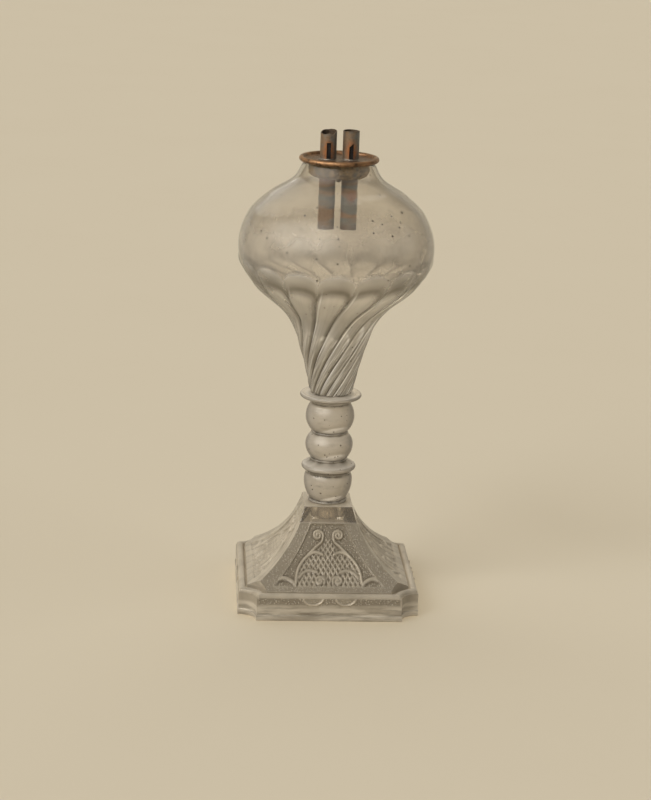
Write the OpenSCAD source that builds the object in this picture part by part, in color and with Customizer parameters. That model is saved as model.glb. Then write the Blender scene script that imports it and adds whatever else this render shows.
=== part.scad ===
// Glass whale oil lamp with a pressed square base, a knopped stem, a gadrooned font
// and a two-tube burner held in the neck by a cork. Millimetres, +Z up, origin on the
// table under the middle of the base. The front of the lamp faces -Y.

/* [Base] */
// Width of the square plinth
plinth_w = 100; // [90:1:115]
// Height of the plinth's upright wall
plinth_h = 13; // [10:0.5:18]
// Height of the plain band along the foot of the plinth
foot_band_h = 3.2; // [2:0.1:5]
// How far the foot band stands out from the wall
foot_band_out = 0.4; // [0.2:0.1:1]
// Radius of the hollow notch at each corner of the plinth
notch_r = 10; // [7:0.5:12]
// Radius of the rounded rail along the plinth's top edge
rail_r = 2; // [1.4:0.1:2.6]
// Narrow shelf outside the rail
rail_shelf = 0.4; // [0.2:0.1:1]
// Height of the base
base_h = 54.3; // [48:0.1:60]
// Width of the small square top of the base
base_top_w = 27; // [25:0.5:30]
// Gap between the rail and the foot of the swept sides
groove_w = 0.6; // [0.3:0.1:1.5]
// Height of the foot of the swept sides above the plinth
sweep_foot_h = 2.2; // [1:0.1:4]
// Radius of the hollow sweep of each side
sweep_r = 58; // [50:1:75]
// Radius of the hollow that cuts off each swept corner
corner_cut_r = 16.4; // [15:0.2:18]
// Width of the plain frame along each ridge
frame_w = 6; // [4:0.2:7]
// Height of the plain band between the panel and the small square top
panel_top_gap = 9; // [7:0.5:12]
// Height of the plain edge between the panel and the foot of the swept side
panel_foot_gap = 1.6; // [1:0.1:4]
// Depth of the sunk panel on each side
panel_sink = 0.6; // [0.3:0.1:1]
// Thickness of the glass between a side and the hollow underneath
base_wall = 7; // [6:0.5:9]
// Height of the pressed scrolls above the sunk panel
scroll_h = 0.9; // [0.7:0.1:1.2]
// Width of a pressed scroll
scroll_w = 1.4; // [1:0.1:1.8]
// Distance of a hanging swag on the plinth from the middle of its side
swag_x = 9; // [7:0.5:12]
// Radius of a swag, to the middle of its band
swag_r = 5.6; // [4:0.1:6.5]
// Depth of a swag below the plinth's top
swag_drop = 3.8; // [3:0.1:5]

/* [Stem] */
// Radius of the peg inside the top of the base
peg_r = 9.3; // [8:0.1:10]
// Radius of the foot wafer
foot_wafer_r = 11.2; // [10.6:0.1:13]
// Thickness of the foot wafer
foot_wafer_t = 1.7; // [1:0.1:3]
// Largest radius of the lower knop
lower_knop_r = 13.7; // [12:0.1:16]
// Radius of the lower knop's foot
lower_knop_foot_r = 10; // [8.5:0.1:11]
// Height of the lower knop
lower_knop_h = 15.2; // [12:0.1:19]
// Height of the lower knop's fullest place above its foot
lower_knop_full_h = 11; // [9:0.1:11.5]
// Radius of the lower knop's top, under the collar
lower_knop_top_r = 12.6; // [11.5:0.1:13]
// Radius of the stem collar
collar_r = 15.3; // [14.5:0.1:18]
// Height of the stem collar
collar_h = 7.4; // [6:0.1:10]
// Radius of the collar's rounded edge
collar_edge_r = 1.6; // [1:0.1:2.2]
// Radius of the collar's top, under the wafer
collar_top_r = 10.5; // [10:0.1:12]
// Radius of the stem at each joint between knops
joint_r = 10; // [8.5:0.1:11]
// Radius of the two thin wafers between knops
wafer_r = 10.5; // [10.2:0.1:12]
// Thickness of the two thin wafers
wafer_t = 1.2; // [0.8:0.1:2]
// Largest radius of the middle knop
middle_knop_r = 13.5; // [12:0.1:16]
// Height of the middle knop
middle_knop_h = 14.6; // [12:0.1:18]
// Height of the middle knop's fullest place above its foot
middle_knop_full_h = 8; // [6:0.1:9.5]
// Largest radius of the upper knop
upper_knop_r = 13.7; // [12:0.1:16]
// Height of the upper knop without its neck
upper_knop_h = 14.6; // [12:0.1:18]
// Height of the upper knop's fullest place above its foot
upper_knop_full_h = 7.9; // [6:0.1:9.5]
// Height of the short neck above the upper knop
stem_neck_h = 1.8; // [1:0.1:4]
// Radius of the short neck where it leaves the upper knop
stem_neck_r = 10.8; // [9.5:0.1:11]
// Roundness of the knops: 1 is a soft wave, lower is fuller
knop_roundness = 0.75; // [0.5:0.05:1]

/* [Font] */
// Radius of the wafer that carries the font
font_wafer_r = 17.3; // [16:0.1:20]
// Height of that wafer
font_wafer_h = 5.5; // [4.5:0.1:8]
// Radius of the wafer's rounded edge
font_wafer_edge_r = 1.2; // [0.8:0.1:1.8]
// Radius of the wafer's foot, on the stem
font_wafer_foot_r = 11.2; // [10.5:0.1:12]
// Height of the wafer's foot below its spreading underside
font_wafer_foot_h = 2.2; // [1:0.1:3]
// Depth of the wafer's dished upper side
font_wafer_dish = 0.6; // [0.3:0.1:1]
// Radius of the font's foot, over the ribs
font_foot_r = 11.8; // [11:0.1:13]
// Rise from the foot to the stalk
stalk_rise = 22.5; // [18:0.5:27]
// Radius of the stalk
stalk_r = 17.3; // [15:0.1:19]
// Rise from the stalk to the flare
flare_rise = 22; // [18:0.5:27]
// Radius of the flare
flare_r = 26.4; // [23:0.1:30]
// Rise from the flare to the hip
hip_rise = 20; // [16:0.5:24]
// Radius of the hip
hip_r = 47.5; // [42:0.1:50]
// Rise from the hip to the widest place
belly_rise = 18.5; // [15:0.5:22]
// Largest radius of the font
belly_r = 54; // [52:0.1:60]
// Rise from the widest place to the shoulder
shoulder_rise = 18.5; // [15:0.5:22]
// Radius of the shoulder
shoulder_r = 48.7; // [45:0.1:51]
// Rise from the shoulder to the steep slope above it
slope_rise = 11; // [9:0.5:14]
// Radius of that slope
slope_r = 37.5; // [34:0.1:42]
// Rise from the slope to the neck
neck_rise = 8; // [7:0.5:10]
// Radius of the neck's foot
neck_r = 25.2; // [23.5:0.1:28]
// Rise from the neck's foot to the rim
rim_rise = 10; // [8:0.5:13]
// Outer radius of the rim
rim_r = 19.2; // [18.5:0.1:21]
// Thickness of the blown wall
font_wall = 2; // [1.5:0.1:2.6]
// Radius of the softened edges of the rim
rim_edge_r = 0.6; // [0.3:0.1:0.8]
// Thickness of the solid glass under the oil
floor_t = 36; // [30:1:42]
// Height over which the oil space's floor is rounded
floor_round = 16; // [10:1:20]

/* [Gadroon] */
// Number of ribs
rib_count = 16; // [12:1:20]
// Thickness of the second gather at the crown of a rib
gadroon_t = 2.4; // [1.8:0.1:3]
// Thickness left in the valley between two ribs
valley_t = 0.8; // [0.5:0.1:1.2]
// Thickness at the rounded top edge of a rib
petal_edge_t = 0.7; // [0.4:0.1:1.2]
// How far the tops of the ribs stay below the widest place
petal_drop = 4; // [1:0.5:8]
// Height of the round arch at the top of each rib
petal_arch = 6.5; // [4:0.5:9]
// Turn of the ribs from top to bottom, in degrees
rib_turn = 98; // [60:1:130]
// How much faster the ribs turn towards the foot
rib_turn_power = 2.3; // [1.2:0.1:3]
// Turn of the first valley at the ribs' tops, in degrees from the lamp's right
rib_start = 9; // [0:1:30]
// Clearance between pieces of glass that fit one in another
gather_gap = 0.2; // [0.15:0.01:0.3]

/* [Burner] */
// How far the plate reaches past the rim
disc_overhang = 2.7; // [2:0.1:4]
// Thickness of the plate
disc_t = 1; // [0.6:0.1:1.5]
// Radius of the plate's rolled edge
bead_r = 1.35; // [1:0.05:1.6]
// Clearance between the cork and the neck
cork_gap = 0.3; // [0.2:0.05:0.6]
// Depth of the cork below the plate
cork_h = 8.7; // [6:0.1:12]
// Height of the cork's rounded lower edge
cork_round = 4.5; // [2:0.1:5.5]
// Length of the tongue of cork that hangs between the tubes
cork_tongue_h = 3.5; // [2:0.1:6]
// Radius of that tongue
cork_tongue_r = 1.35; // [0.6:0.05:1.4]
// Outer radius of a wick tube
tube_r = 4.55; // [3.8:0.05:5]
// Wall of a wick tube
tube_wall = 0.5; // [0.3:0.05:0.7]
// Distance between the centres of the two tubes
tube_spacing = 12.3; // [11.5:0.1:14]
// Height of the tubes above the plate's underside
tube_above = 17; // [14:0.5:22]
// Length of the tubes below the plate's underside
tube_below = 37; // [25:0.5:45]
// Width of the pick slot in each tube
slot_w = 2.4; // [1.5:0.1:3.5]
// Height of the pick slots above the plate
slot_h = 9.5; // [6:0.1:11]
// Height of the pointed top of the right-hand slot
slot_point_h = 2.2; // [1:0.1:4]
// Width and height of the solder fillet around each tube
solder_w = 0.8; // [0.4:0.1:1.3]
// Clearance of the tubes in the plate, cork and solder
tube_gap = 0.05; // [0.02:0.01:0.1]

/* [Wicks] */
// Clearance between a wick and its tube
wick_gap = 0.3; // [0.2:0.05:0.5]
// How far the top of a wick lies below the top of its tube
wick_sunk = 4; // [1:0.5:6]
// How far the foot of a wick lies above the foot of its tube
wick_raise = 6; // [5:0.5:12]
// Radius of the frayed, rounded ends of a wick
wick_end_r = 1.2; // [0.5:0.1:2]

/* [Hidden] */

$fn = 96;
eps = 1;

glass_color = [0.74, 0.72, 0.66];
gadroon_color = [0.68, 0.66, 0.60];
copper_color = [0.48, 0.30, 0.18];
tube_color = [0.50, 0.36, 0.25];
solder_color = [0.55, 0.55, 0.52];
cork_color = [0.45, 0.38, 0.26];
wick_color = [0.80, 0.76, 0.66];

// Base: the sweep of a side is one round arc through the small top and the foot of the side.
plinth_half = plinth_w / 2;
rail_inset = rail_shelf + rail_r;
foot_half = plinth_half - rail_shelf - 2 * rail_r - groove_w;
foot_z = plinth_h + sweep_foot_h;
top_half = base_top_w / 2;
chord = [foot_half - top_half, foot_z - base_h];
chord_len = norm(chord);
chord_mid = [(foot_half + top_half) / 2, (foot_z + base_h) / 2];
centre_out = sqrt(pow(sweep_r, 2) - pow(chord_len / 2, 2));
sweep_centre = [
    chord_mid[0] - chord[1] / chord_len * centre_out,
    chord_mid[1] + chord[0] / chord_len * centre_out
];
panel_top_z = base_h - panel_top_gap;
panel_foot_z = foot_z + panel_foot_gap;
panel_h = panel_top_z - panel_foot_z;
// Scrolls on the right half of a panel, in shares of its height: middle across, middle up, radius
// and, where it isn't a full ring with an eye, the angles between which it runs
volutes = [[0.2, 0.79, 0.09], [0.175, 0.085, 0.062]];
scroll_arcs = [
    [0.18, 0.05, 0.455, 2, 98],
    [0.34, 0.77, 0.235, 178, 252],
    [0.35, -0.06, 0.293, 40, 115],
    [0.89, -0.17, 0.29, 70, 138]
];
volute_eye = 0.35;
scroll_end_r = 0.6 * scroll_w;
wedge_steps = 3;
corner_frame_w = corner_cut_r + frame_w / 2;
hollow_top_z = panel_top_z;
hollow_half = plinth_half - notch_r;

// Stem: each piece stands on the one below it.
foot_wafer_z = base_h;
lower_knop_z = foot_wafer_z + foot_wafer_t;
collar_z = lower_knop_z + lower_knop_h;
lower_wafer_z = collar_z + collar_h;
middle_knop_z = lower_wafer_z + wafer_t;
upper_wafer_z = middle_knop_z + middle_knop_h;
upper_knop_z = upper_wafer_z + wafer_t;
font_wafer_z = upper_knop_z + upper_knop_h + stem_neck_h;
knop_steps = 14;
slope_step = 0.1;
// Angles through which the rounded edges of the wafers and the top of the collar's edge turn
edge_arc = 60;
collar_arc = 70;

// Font: the outline runs smoothly through these heights and radii.
font_z = font_wafer_z + font_wafer_h;
stalk_z = font_z + stalk_rise;
flare_z = stalk_z + flare_rise;
hip_z = flare_z + hip_rise;
belly_z = hip_z + belly_rise;
shoulder_z = belly_z + shoulder_rise;
slope_z = shoulder_z + slope_rise;
neck_z = slope_z + neck_rise;
rim_z = neck_z + rim_rise;
outline = [
    [font_z, font_foot_r], [stalk_z, stalk_r], [flare_z, flare_r], [hip_z, hip_r],
    [belly_z, belly_r], [shoulder_z, shoulder_r], [slope_z, slope_r], [neck_z, neck_r], [rim_z, rim_r]
];
bore_r = rim_r - font_wall;
floor_z = font_z + floor_t;
petal_top_z = belly_z - petal_drop;
petal_valley_z = petal_top_z - petal_arch;
arch_foot_z = petal_valley_z - petal_arch;
level_rows = 20;
arch_rows = 6;
gather_rows = level_rows + arch_rows;
upper_steps = 24;
wall_steps = 44;

// Burner: the plate lies on the rim.
disc_z = rim_z;
disc_r = rim_r + disc_overhang;
cork_r = bore_r - cork_gap;
tube_hole_r = tube_r + tube_gap;
tube_bore_r = tube_r - tube_wall;
tube_top_z = disc_z + tube_above;
tube_foot_z = disc_z - tube_below;
tube_len = tube_above + tube_below;
slot_foot_z = disc_z + disc_t;
slot_top_z = slot_foot_z + slot_h;
wick_r = tube_bore_r - wick_gap;
wick_top_z = tube_top_z - wick_sunk;
wick_foot_z = tube_foot_z + wick_raise;

// Points of an arc about a centre, from one angle to another
function arc(centre, r, from, to, steps = 10) =
    [for (i = [0 : steps]) let (a = from + (to - from) * i / steps) centre + r * [cos(a), sin(a)]];

// Slope of the outline at one of its knots
function knot_slope(i) =
    let (a = outline[max(i - 1, 0)], b = outline[min(i + 1, len(outline) - 1)])
    (b[1] - a[1]) / (b[0] - a[0]);

// Which span of the outline holds a height
function span_at(z, i = 0) = i >= len(outline) - 2 || z < outline[i + 1][0] ? i : span_at(z, i + 1);

// Radius of the smooth outline at a height
function outline_r(z) =
    let (i = span_at(z), a = outline[i], b = outline[i + 1], h = b[0] - a[0], t = (z - a[0]) / h)
    (2 * pow(t, 3) - 3 * pow(t, 2) + 1) * a[1] + (pow(t, 3) - 2 * pow(t, 2) + t) * h * knot_slope(i)
    + (3 * pow(t, 2) - 2 * pow(t, 3)) * b[1] + (pow(t, 3) - pow(t, 2)) * h * knot_slope(i + 1);

// A smooth step from 0 to 1 between two heights
function ease(z, from, to) = let (t = min(max((z - from) / (to - from), 0), 1)) t * t * (3 - 2 * t);

// Radius of the blown font under the second gather
function font_r(z) = outline_r(z) - gadroon_t * (1 - ease(z, arch_foot_z, belly_z));

// Height of a level row, shared by the font and the gather over it
function level_z(row) = font_z + (arch_foot_z - font_z) * row / level_rows;

// A point of the font's inner wall, square to its outer wall
function inner_point(z) =
    let (slope = (font_r(z + slope_step) - font_r(z - slope_step)) / (2 * slope_step))
    let (n = sqrt(1 + slope * slope))
    [font_r(z) - font_wall / n, z + font_wall * slope / n];

// How much of the full width the oil space has at a height above its rounded floor
function floor_share(z) =
    z >= floor_z + floor_round ? 1 : sqrt(1 - pow((floor_z + floor_round - z) / floor_round, 2));

// Outline of a knop between two end radii, with the height of its fullest place
function knop_outline(z, h, foot_r, full_h, full_r, top_r) =
    [for (i = [0 : knop_steps])
        let (at = h * i / knop_steps, up = at > full_h, end_r = up ? top_r : foot_r)
        let (s = up ? (at - full_h) / (h - full_h) : (full_h - at) / full_h)
        [end_r + (full_r - end_r) * pow(cos(90 * s), knop_roundness), z + at]];

// Turns a list of outline points about the Z axis, closed along the axis
module turn_solid(points) {
    first_z = points[0][1];
    last_z = points[len(points) - 1][1];
    rotate_extrude() polygon(concat([[0, first_z]], points, [[0, last_z]]));
}

// The square of the plinth with its hollow corner notches
module notched_square(half, corner_r) {
    difference() {
        square(2 * half, center = true);
        for (sx = [-1, 1], sy = [-1, 1]) {
            translate([sx * plinth_half, sy * plinth_half]) circle(corner_r);
        }
    }
}

// A long round bar along one side of the base, centred at a distance out and a height
module side_bar(side, out, z, r) {
    rotate([0, 0, 90 * side]) translate([0, -out, z]) rotate([0, 90, 0])
        cylinder(r = r, h = 3 * plinth_w, center = true);
}

// A square block scooped on all four sides and cut at its corners
module scooped_block(half, low_z, high_z, scoop_r, corner_r) {
    difference() {
        translate([0, 0, low_z]) linear_extrude(high_z - low_z) notched_square(half, corner_r);
        for (side = [0 : 3]) side_bar(side, sweep_centre[0], sweep_centre[1], scoop_r);
    }
}

// The rounded rail that follows the plinth's edge and its notches
module rail() {
    intersection() {
        translate([0, 0, plinth_h - rail_r]) linear_extrude(3 * rail_r) notched_square(plinth_half, notch_r);
        union() {
            for (side = [0 : 3]) side_bar(side, plinth_half - rail_inset, plinth_h, rail_r);
            for (sx = [-1, 1], sy = [-1, 1]) {
                translate([sx * plinth_half, sy * plinth_half, plinth_h])
                    rotate_extrude() translate([notch_r + rail_inset, 0]) circle(rail_r, $fn = 32);
            }
        }
    }
}

// The outline of a sunk panel, seen square to its side
module panel_outline() {
    difference() {
        translate([-foot_half, panel_foot_z]) square([2 * foot_half, panel_top_z - panel_foot_z]);
        for (sx = [-1, 1]) {
            translate([sx * sweep_centre[0], sweep_centre[1]]) circle(sweep_r + frame_w);
            translate([sx * plinth_half, 0]) square([2 * corner_frame_w, 4 * base_h], center = true);
        }
    }
}

// The cut that sinks the panel of one side
module panel_cut(side) {
    intersection() {
        side_bar(side, sweep_centre[0], sweep_centre[1], sweep_r + panel_sink);
        rotate([0, 0, 90 * side]) rotate([90, 0, 0]) linear_extrude(sweep_centre[0]) panel_outline();
    }
}

// A flat ring
module ring(r, w) {
    difference() {
        circle(r + w / 2);
        circle(r - w / 2);
    }
}

// A flat curved band between two angles, with a round bud at each end
module arc_band(r, from, to) {
    reach = 2 * r;
    intersection() {
        ring(r, scroll_w);
        polygon(concat([[0, 0]], arc([0, 0], reach, from, to, wedge_steps)));
    }
    for (a = [from, to]) translate(r * [cos(a), sin(a)]) circle(scroll_end_r);
}

// The main scrolls of a panel, seen square to its side
module scroll_outline() {
    for (sx = [0, 1]) mirror([sx, 0]) translate([0, panel_foot_z]) {
        for (v = volutes) translate(panel_h * [v[0], v[1]]) {
            ring(panel_h * v[2], scroll_w);
            circle(panel_h * v[2] * volute_eye);
        }
        for (s = scroll_arcs) translate(panel_h * [s[0], s[1]]) arc_band(panel_h * s[2], s[3], s[4]);
    }
}

// The raised scrolls of one side, rooted in the glass behind the panel
module side_scrolls(side) {
    ground_r = sweep_r + panel_sink;
    difference() {
        intersection() {
            side_bar(side, sweep_centre[0], sweep_centre[1], ground_r + panel_sink);
            rotate([0, 0, 90 * side]) rotate([90, 0, 0]) linear_extrude(sweep_centre[0]) intersection() {
                panel_outline();
                scroll_outline();
            }
        }
        side_bar(side, sweep_centre[0], sweep_centre[1], ground_r - scroll_h);
    }
}

// The two swags that hang on one side of the plinth
module side_swags(side) {
    rotate([0, 0, 90 * side]) translate([0, -plinth_half - foot_band_out, 0]) rotate([-90, 0, 0])
        linear_extrude(2 * foot_band_out) mirror([0, 1]) intersection() {
            translate([-plinth_half, 0]) square([plinth_w, plinth_h]);
            for (sx = [-1, 1]) translate([sx * swag_x, plinth_h - swag_drop + swag_r]) ring(swag_r, scroll_w);
        }
}

module base() {
    color(glass_color) difference() {
        union() {
            difference() {
                union() {
                    linear_extrude(foot_band_h)
                        notched_square(plinth_half + foot_band_out, notch_r - foot_band_out);
                    linear_extrude(plinth_h) notched_square(plinth_half, notch_r);
                    rail();
                    scooped_block(foot_half, plinth_h - rail_r, base_h, sweep_r, corner_cut_r);
                }
                for (side = [0 : 3]) panel_cut(side);
            }
            for (side = [0 : 3]) {
                side_scrolls(side);
                side_swags(side);
            }
        }
        scooped_block(hollow_half, -eps, hollow_top_z, sweep_r + base_wall, corner_cut_r + base_wall);
        cylinder(r = peg_r + gather_gap, h = base_h + eps);
    }
}

module stem_peg() {
    color(glass_color) translate([0, 0, hollow_top_z]) cylinder(r = peg_r, h = base_h - hollow_top_z);
}

module foot_wafer() {
    color(glass_color) turn_solid(concat(
        [[foot_wafer_r - foot_wafer_t / 2, foot_wafer_z]],
        arc([foot_wafer_r - foot_wafer_t / 2, foot_wafer_z + foot_wafer_t / 2], foot_wafer_t / 2,
            -edge_arc, edge_arc),
        [[foot_wafer_r - foot_wafer_t / 2, lower_knop_z]]
    ));
}

module lower_knop() {
    color(glass_color) turn_solid(knop_outline(
        lower_knop_z, lower_knop_h, lower_knop_foot_r, lower_knop_full_h, lower_knop_r, lower_knop_top_r));
}

module stem_collar() {
    color(glass_color) turn_solid(concat(
        [[lower_knop_top_r, collar_z]],
        arc([collar_r - collar_edge_r, collar_z + collar_h / 2], collar_edge_r, -edge_arc, collar_arc),
        [[collar_top_r, lower_wafer_z]]
    ));
}

// One of the two thin wafers between knops
module thin_wafer(z) {
    edge_r = wafer_t / 2;
    color(glass_color) turn_solid(concat(
        [[wafer_r - edge_r, z]],
        arc([wafer_r - edge_r, z + edge_r], edge_r, -edge_arc, edge_arc),
        [[wafer_r - edge_r, z + wafer_t]]
    ));
}

module middle_knop() {
    color(glass_color) turn_solid(knop_outline(
        middle_knop_z, middle_knop_h, joint_r, middle_knop_full_h, middle_knop_r, joint_r));
}

module upper_knop() {
    color(glass_color) turn_solid(concat(
        knop_outline(upper_knop_z, upper_knop_h, joint_r, upper_knop_full_h, upper_knop_r, stem_neck_r),
        [[font_wafer_foot_r, font_wafer_z]]
    ));
}

module font_wafer() {
    edge_centre = [font_wafer_r - font_wafer_edge_r, font_z - font_wafer_edge_r];
    underside = [font_wafer_foot_r + font_wafer_edge_r, font_wafer_z + font_wafer_foot_h];
    dish = [(font_wafer_r + font_foot_r) / 2, font_z - font_wafer_dish];
    color(glass_color) turn_solid(concat(
        [[font_wafer_foot_r, font_wafer_z], underside],
        arc(edge_centre, font_wafer_edge_r, -65, 120),
        [dish, [font_foot_r, font_z]]
    ));
}

// The blown reservoir: outer wall, softened rim, neck bore, inner wall and rounded floor
module font() {
    lower = [for (row = [0 : level_rows - 1]) let (z = level_z(row)) [font_r(z), z]];
    upper_step = (rim_z - rim_edge_r - arch_foot_z) / upper_steps;
    upper = [for (i = [0 : upper_steps - 1]) let (z = arch_foot_z + upper_step * i) [font_r(z), z]];
    rim = concat(
        arc([rim_r - rim_edge_r, rim_z - rim_edge_r], rim_edge_r, 0, 90, 4),
        arc([bore_r + rim_edge_r, rim_z - rim_edge_r], rim_edge_r, 90, 180, 4)
    );
    wall = [for (i = [0 : wall_steps]) inner_point(floor_z + (rim_z - floor_z) * i / wall_steps)];
    floor_points = [for (p = wall) [p[0] * floor_share(p[1]), p[1]]];
    inner = [for (i = [wall_steps : -1 : 0]) let (p = floor_points[i])
        if (p[0] > bore_r && p[1] > floor_z && p[1] < rim_z - 2 * rim_edge_r) p];
    low = [for (i = [wall_steps : -1 : 0]) let (p = floor_points[i])
        if (p[0] <= bore_r && p[1] > floor_z && p[1] < belly_z) p];
    color(glass_color) rotate_extrude()
        polygon(concat([[0, font_z]], lower, upper, rim, inner, low, [[0, floor_z]]));
}

// Ribs: columns of points run from the foot to the arched top edge of each rib.
columns_per_rib = 6;
columns = rib_count * columns_per_rib;

// How far round its own rib a column lies: 0 at the crown, 1 in the valley
function rib_phase(c) = abs((c % columns_per_rib) / columns_per_rib * 2 - 1);

// Height of the top edge of a column
function edge_z(c) = petal_valley_z + petal_arch * sqrt(1 - pow(rib_phase(c), 2));

// Height of a row of a column: level rows below the arches, then rows that rise to the arched edge
function row_z(c, row) = row <= level_rows
    ? level_z(row)
    : arch_foot_z + (edge_z(c) - arch_foot_z) * (row - level_rows) / arch_rows;

// Turn of the ribs at a height
function rib_angle(z) = -rib_turn * pow((petal_top_z - z) / (petal_top_z - font_z), rib_turn_power);

// Thickness of the gather: rounded ribs with sharp valleys, thinned towards the top edge
function gather_t(c, row) =
    let (crown = cos(90 * rib_phase(c)), share = row / gather_rows, lip = sqrt(1 - pow(share, 12)))
    petal_edge_t + (valley_t + (gadroon_t - valley_t) * crown - petal_edge_t) * lip;

// A point of the gather: its column, its height and its distance from the font
function gather_point(c, z, out) =
    let (a = rib_start + 360 * c / columns + rib_angle(z), r = font_r(z) + out)
    [r * cos(a), r * sin(a), z];

// Two triangles between neighbouring rows of points
function quad(a, b, c, d) = [[a, b, c], [a, c, d]];

module gadroon() {
    layer = (gather_rows + 1) * columns;
    top = gather_rows * columns;
    outer_points = [for (row = [0 : gather_rows], c = [0 : columns - 1])
        gather_point(c, row_z(c, row), gather_t(c, row))];
    inner_points = [for (row = [0 : gather_rows], c = [0 : columns - 1])
        gather_point(c, row_z(c, row), gather_gap)];
    wall_faces = [for (row = [0 : gather_rows - 1], c = [0 : columns - 1])
        let (n = (c + 1) % columns, low = row * columns, high = low + columns)
        each concat(
            quad(low + c, high + c, high + n, low + n),
            quad(layer + low + n, layer + high + n, layer + high + c, layer + low + c)
        )];
    edge_faces = [for (c = [0 : columns - 1])
        let (n = (c + 1) % columns)
        each concat(
            quad(top + c, layer + top + c, layer + top + n, top + n),
            quad(layer + c, c, n, layer + n)
        )];
    color(gadroon_color)
        polyhedron(concat(outer_points, inner_points), concat(wall_faces, edge_faces));
}

// Places a child at the left (-1) or right (1) tube
module at_tube(side) {
    translate([side * tube_spacing / 2, 0, 0]) children();
}

// The two holes for the tubes through a piece of a given thickness
module tube_holes(z, thickness) {
    for (side = [-1, 1]) {
        at_tube(side) translate([0, 0, z - eps]) cylinder(r = tube_hole_r, h = thickness + 2 * eps);
    }
}

module burner_disc() {
    color(copper_color) difference() {
        union() {
            translate([0, 0, disc_z]) cylinder(r = disc_r - bead_r, h = disc_t);
            translate([0, 0, disc_z + bead_r])
                rotate_extrude() translate([disc_r - bead_r, 0]) circle(bead_r, $fn = 32);
        }
        tube_holes(disc_z, disc_t);
    }
}

module cork() {
    low_z = disc_z - cork_h;
    color(cork_color) difference() {
        turn_solid(concat(
            [for (i = [0 : 8]) let (a = 90 * i / 8)
                [cork_r - cork_round * (1 - sin(a)), low_z + cork_round * (1 - cos(a))]],
            [[cork_r, disc_z]]
        ));
        tube_holes(low_z, cork_h);
    }
    color(cork_color) translate([0, 0, low_z - cork_tongue_h])
        cylinder(r = cork_tongue_r, h = cork_tongue_h + eps);
}

// A rolled wick tube with a pick slot in its front; the slot's top may be pointed
module wick_tube(side, point_h) {
    slot_side_z = slot_top_z - point_h;
    color(tube_color) at_tube(side) difference() {
        translate([0, 0, tube_foot_z]) cylinder(r = tube_r, h = tube_len);
        translate([0, 0, tube_foot_z - eps]) cylinder(r = tube_bore_r, h = tube_len + 2 * eps);
        rotate([90, 0, 0]) linear_extrude(2 * tube_r) polygon([
            [-slot_w / 2, slot_foot_z], [slot_w / 2, slot_foot_z], [slot_w / 2, slot_side_z],
            [slot_w / 4, slot_top_z], [-slot_w / 4, slot_top_z], [-slot_w / 2, slot_side_z]
        ]);
    }
}

// A solder fillet in the corner between a tube and the plate
module solder(side) {
    foot_z = disc_z + disc_t;
    color(solder_color) at_tube(side) rotate_extrude() polygon(concat(
        [[tube_hole_r, foot_z]],
        arc([tube_hole_r + solder_w, foot_z + solder_w], solder_w * 0.95, 270, 180, 6),
        [[tube_hole_r, foot_z + solder_w]]
    ));
}

module wick(side) {
    color(wick_color) at_tube(side) turn_solid(concat(
        arc([wick_r - wick_end_r, wick_foot_z + wick_end_r], wick_end_r, -90, 0, 5),
        arc([wick_r - wick_end_r, wick_top_z - wick_end_r], wick_end_r, 0, 90, 5)
    ));
}

base();
stem_peg();
foot_wafer();
lower_knop();
stem_collar();
thin_wafer(lower_wafer_z);  // lower_wafer
middle_knop();
thin_wafer(upper_wafer_z);  // upper_wafer
upper_knop();
font_wafer();
font();
gadroon();
burner_disc();
cork();
wick_tube(-1, 0);  // wick_tube_left
wick_tube(1, slot_point_h);  // wick_tube_right
solder(-1);  // solder_left
solder(1);  // solder_right
wick(-1);  // wick_left
wick(1);  // wick_right
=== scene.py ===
"""Dresses the frame of a glass whale oil lamp: pressed base, knopped stem, ribbed font, two-tube burner."""

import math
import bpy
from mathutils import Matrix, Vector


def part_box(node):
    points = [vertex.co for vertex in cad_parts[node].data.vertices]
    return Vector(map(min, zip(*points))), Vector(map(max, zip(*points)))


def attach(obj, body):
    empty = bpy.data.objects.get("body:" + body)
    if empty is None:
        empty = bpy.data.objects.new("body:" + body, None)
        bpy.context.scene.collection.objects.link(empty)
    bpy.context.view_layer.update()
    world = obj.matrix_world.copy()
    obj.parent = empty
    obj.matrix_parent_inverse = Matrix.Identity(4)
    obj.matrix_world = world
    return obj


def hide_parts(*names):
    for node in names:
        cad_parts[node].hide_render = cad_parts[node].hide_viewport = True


bl_info = {
    "name": "Whale Oil Lamp",
    "version": (1, 0, 0),
    "blender": (4, 5, 0),
    "location": "View3D > Sidebar > Lamp",
    "description": "Models and finishes a glass oil lamp piece by piece around its frame",
    "category": "Add Mesh",
}

import bpy
import numpy as np
from bpy.props import FloatProperty, FloatVectorProperty, IntProperty, PointerProperty
from mathutils import Matrix, Vector

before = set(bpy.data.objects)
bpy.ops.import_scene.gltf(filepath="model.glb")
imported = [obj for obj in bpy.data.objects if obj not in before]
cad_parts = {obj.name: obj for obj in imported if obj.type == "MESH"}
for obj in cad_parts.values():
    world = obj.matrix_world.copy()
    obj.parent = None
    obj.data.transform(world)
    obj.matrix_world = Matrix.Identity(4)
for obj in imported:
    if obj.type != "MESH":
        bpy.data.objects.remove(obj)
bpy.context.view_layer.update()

MM = 0.001
TURN = 2 * math.pi


def low(node):
    """Lowest corner of a node of the frame, in millimetres."""
    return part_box(node)[0] / MM


def high(node):
    """Highest corner of a node of the frame, in millimetres."""
    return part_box(node)[1] / MM


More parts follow.
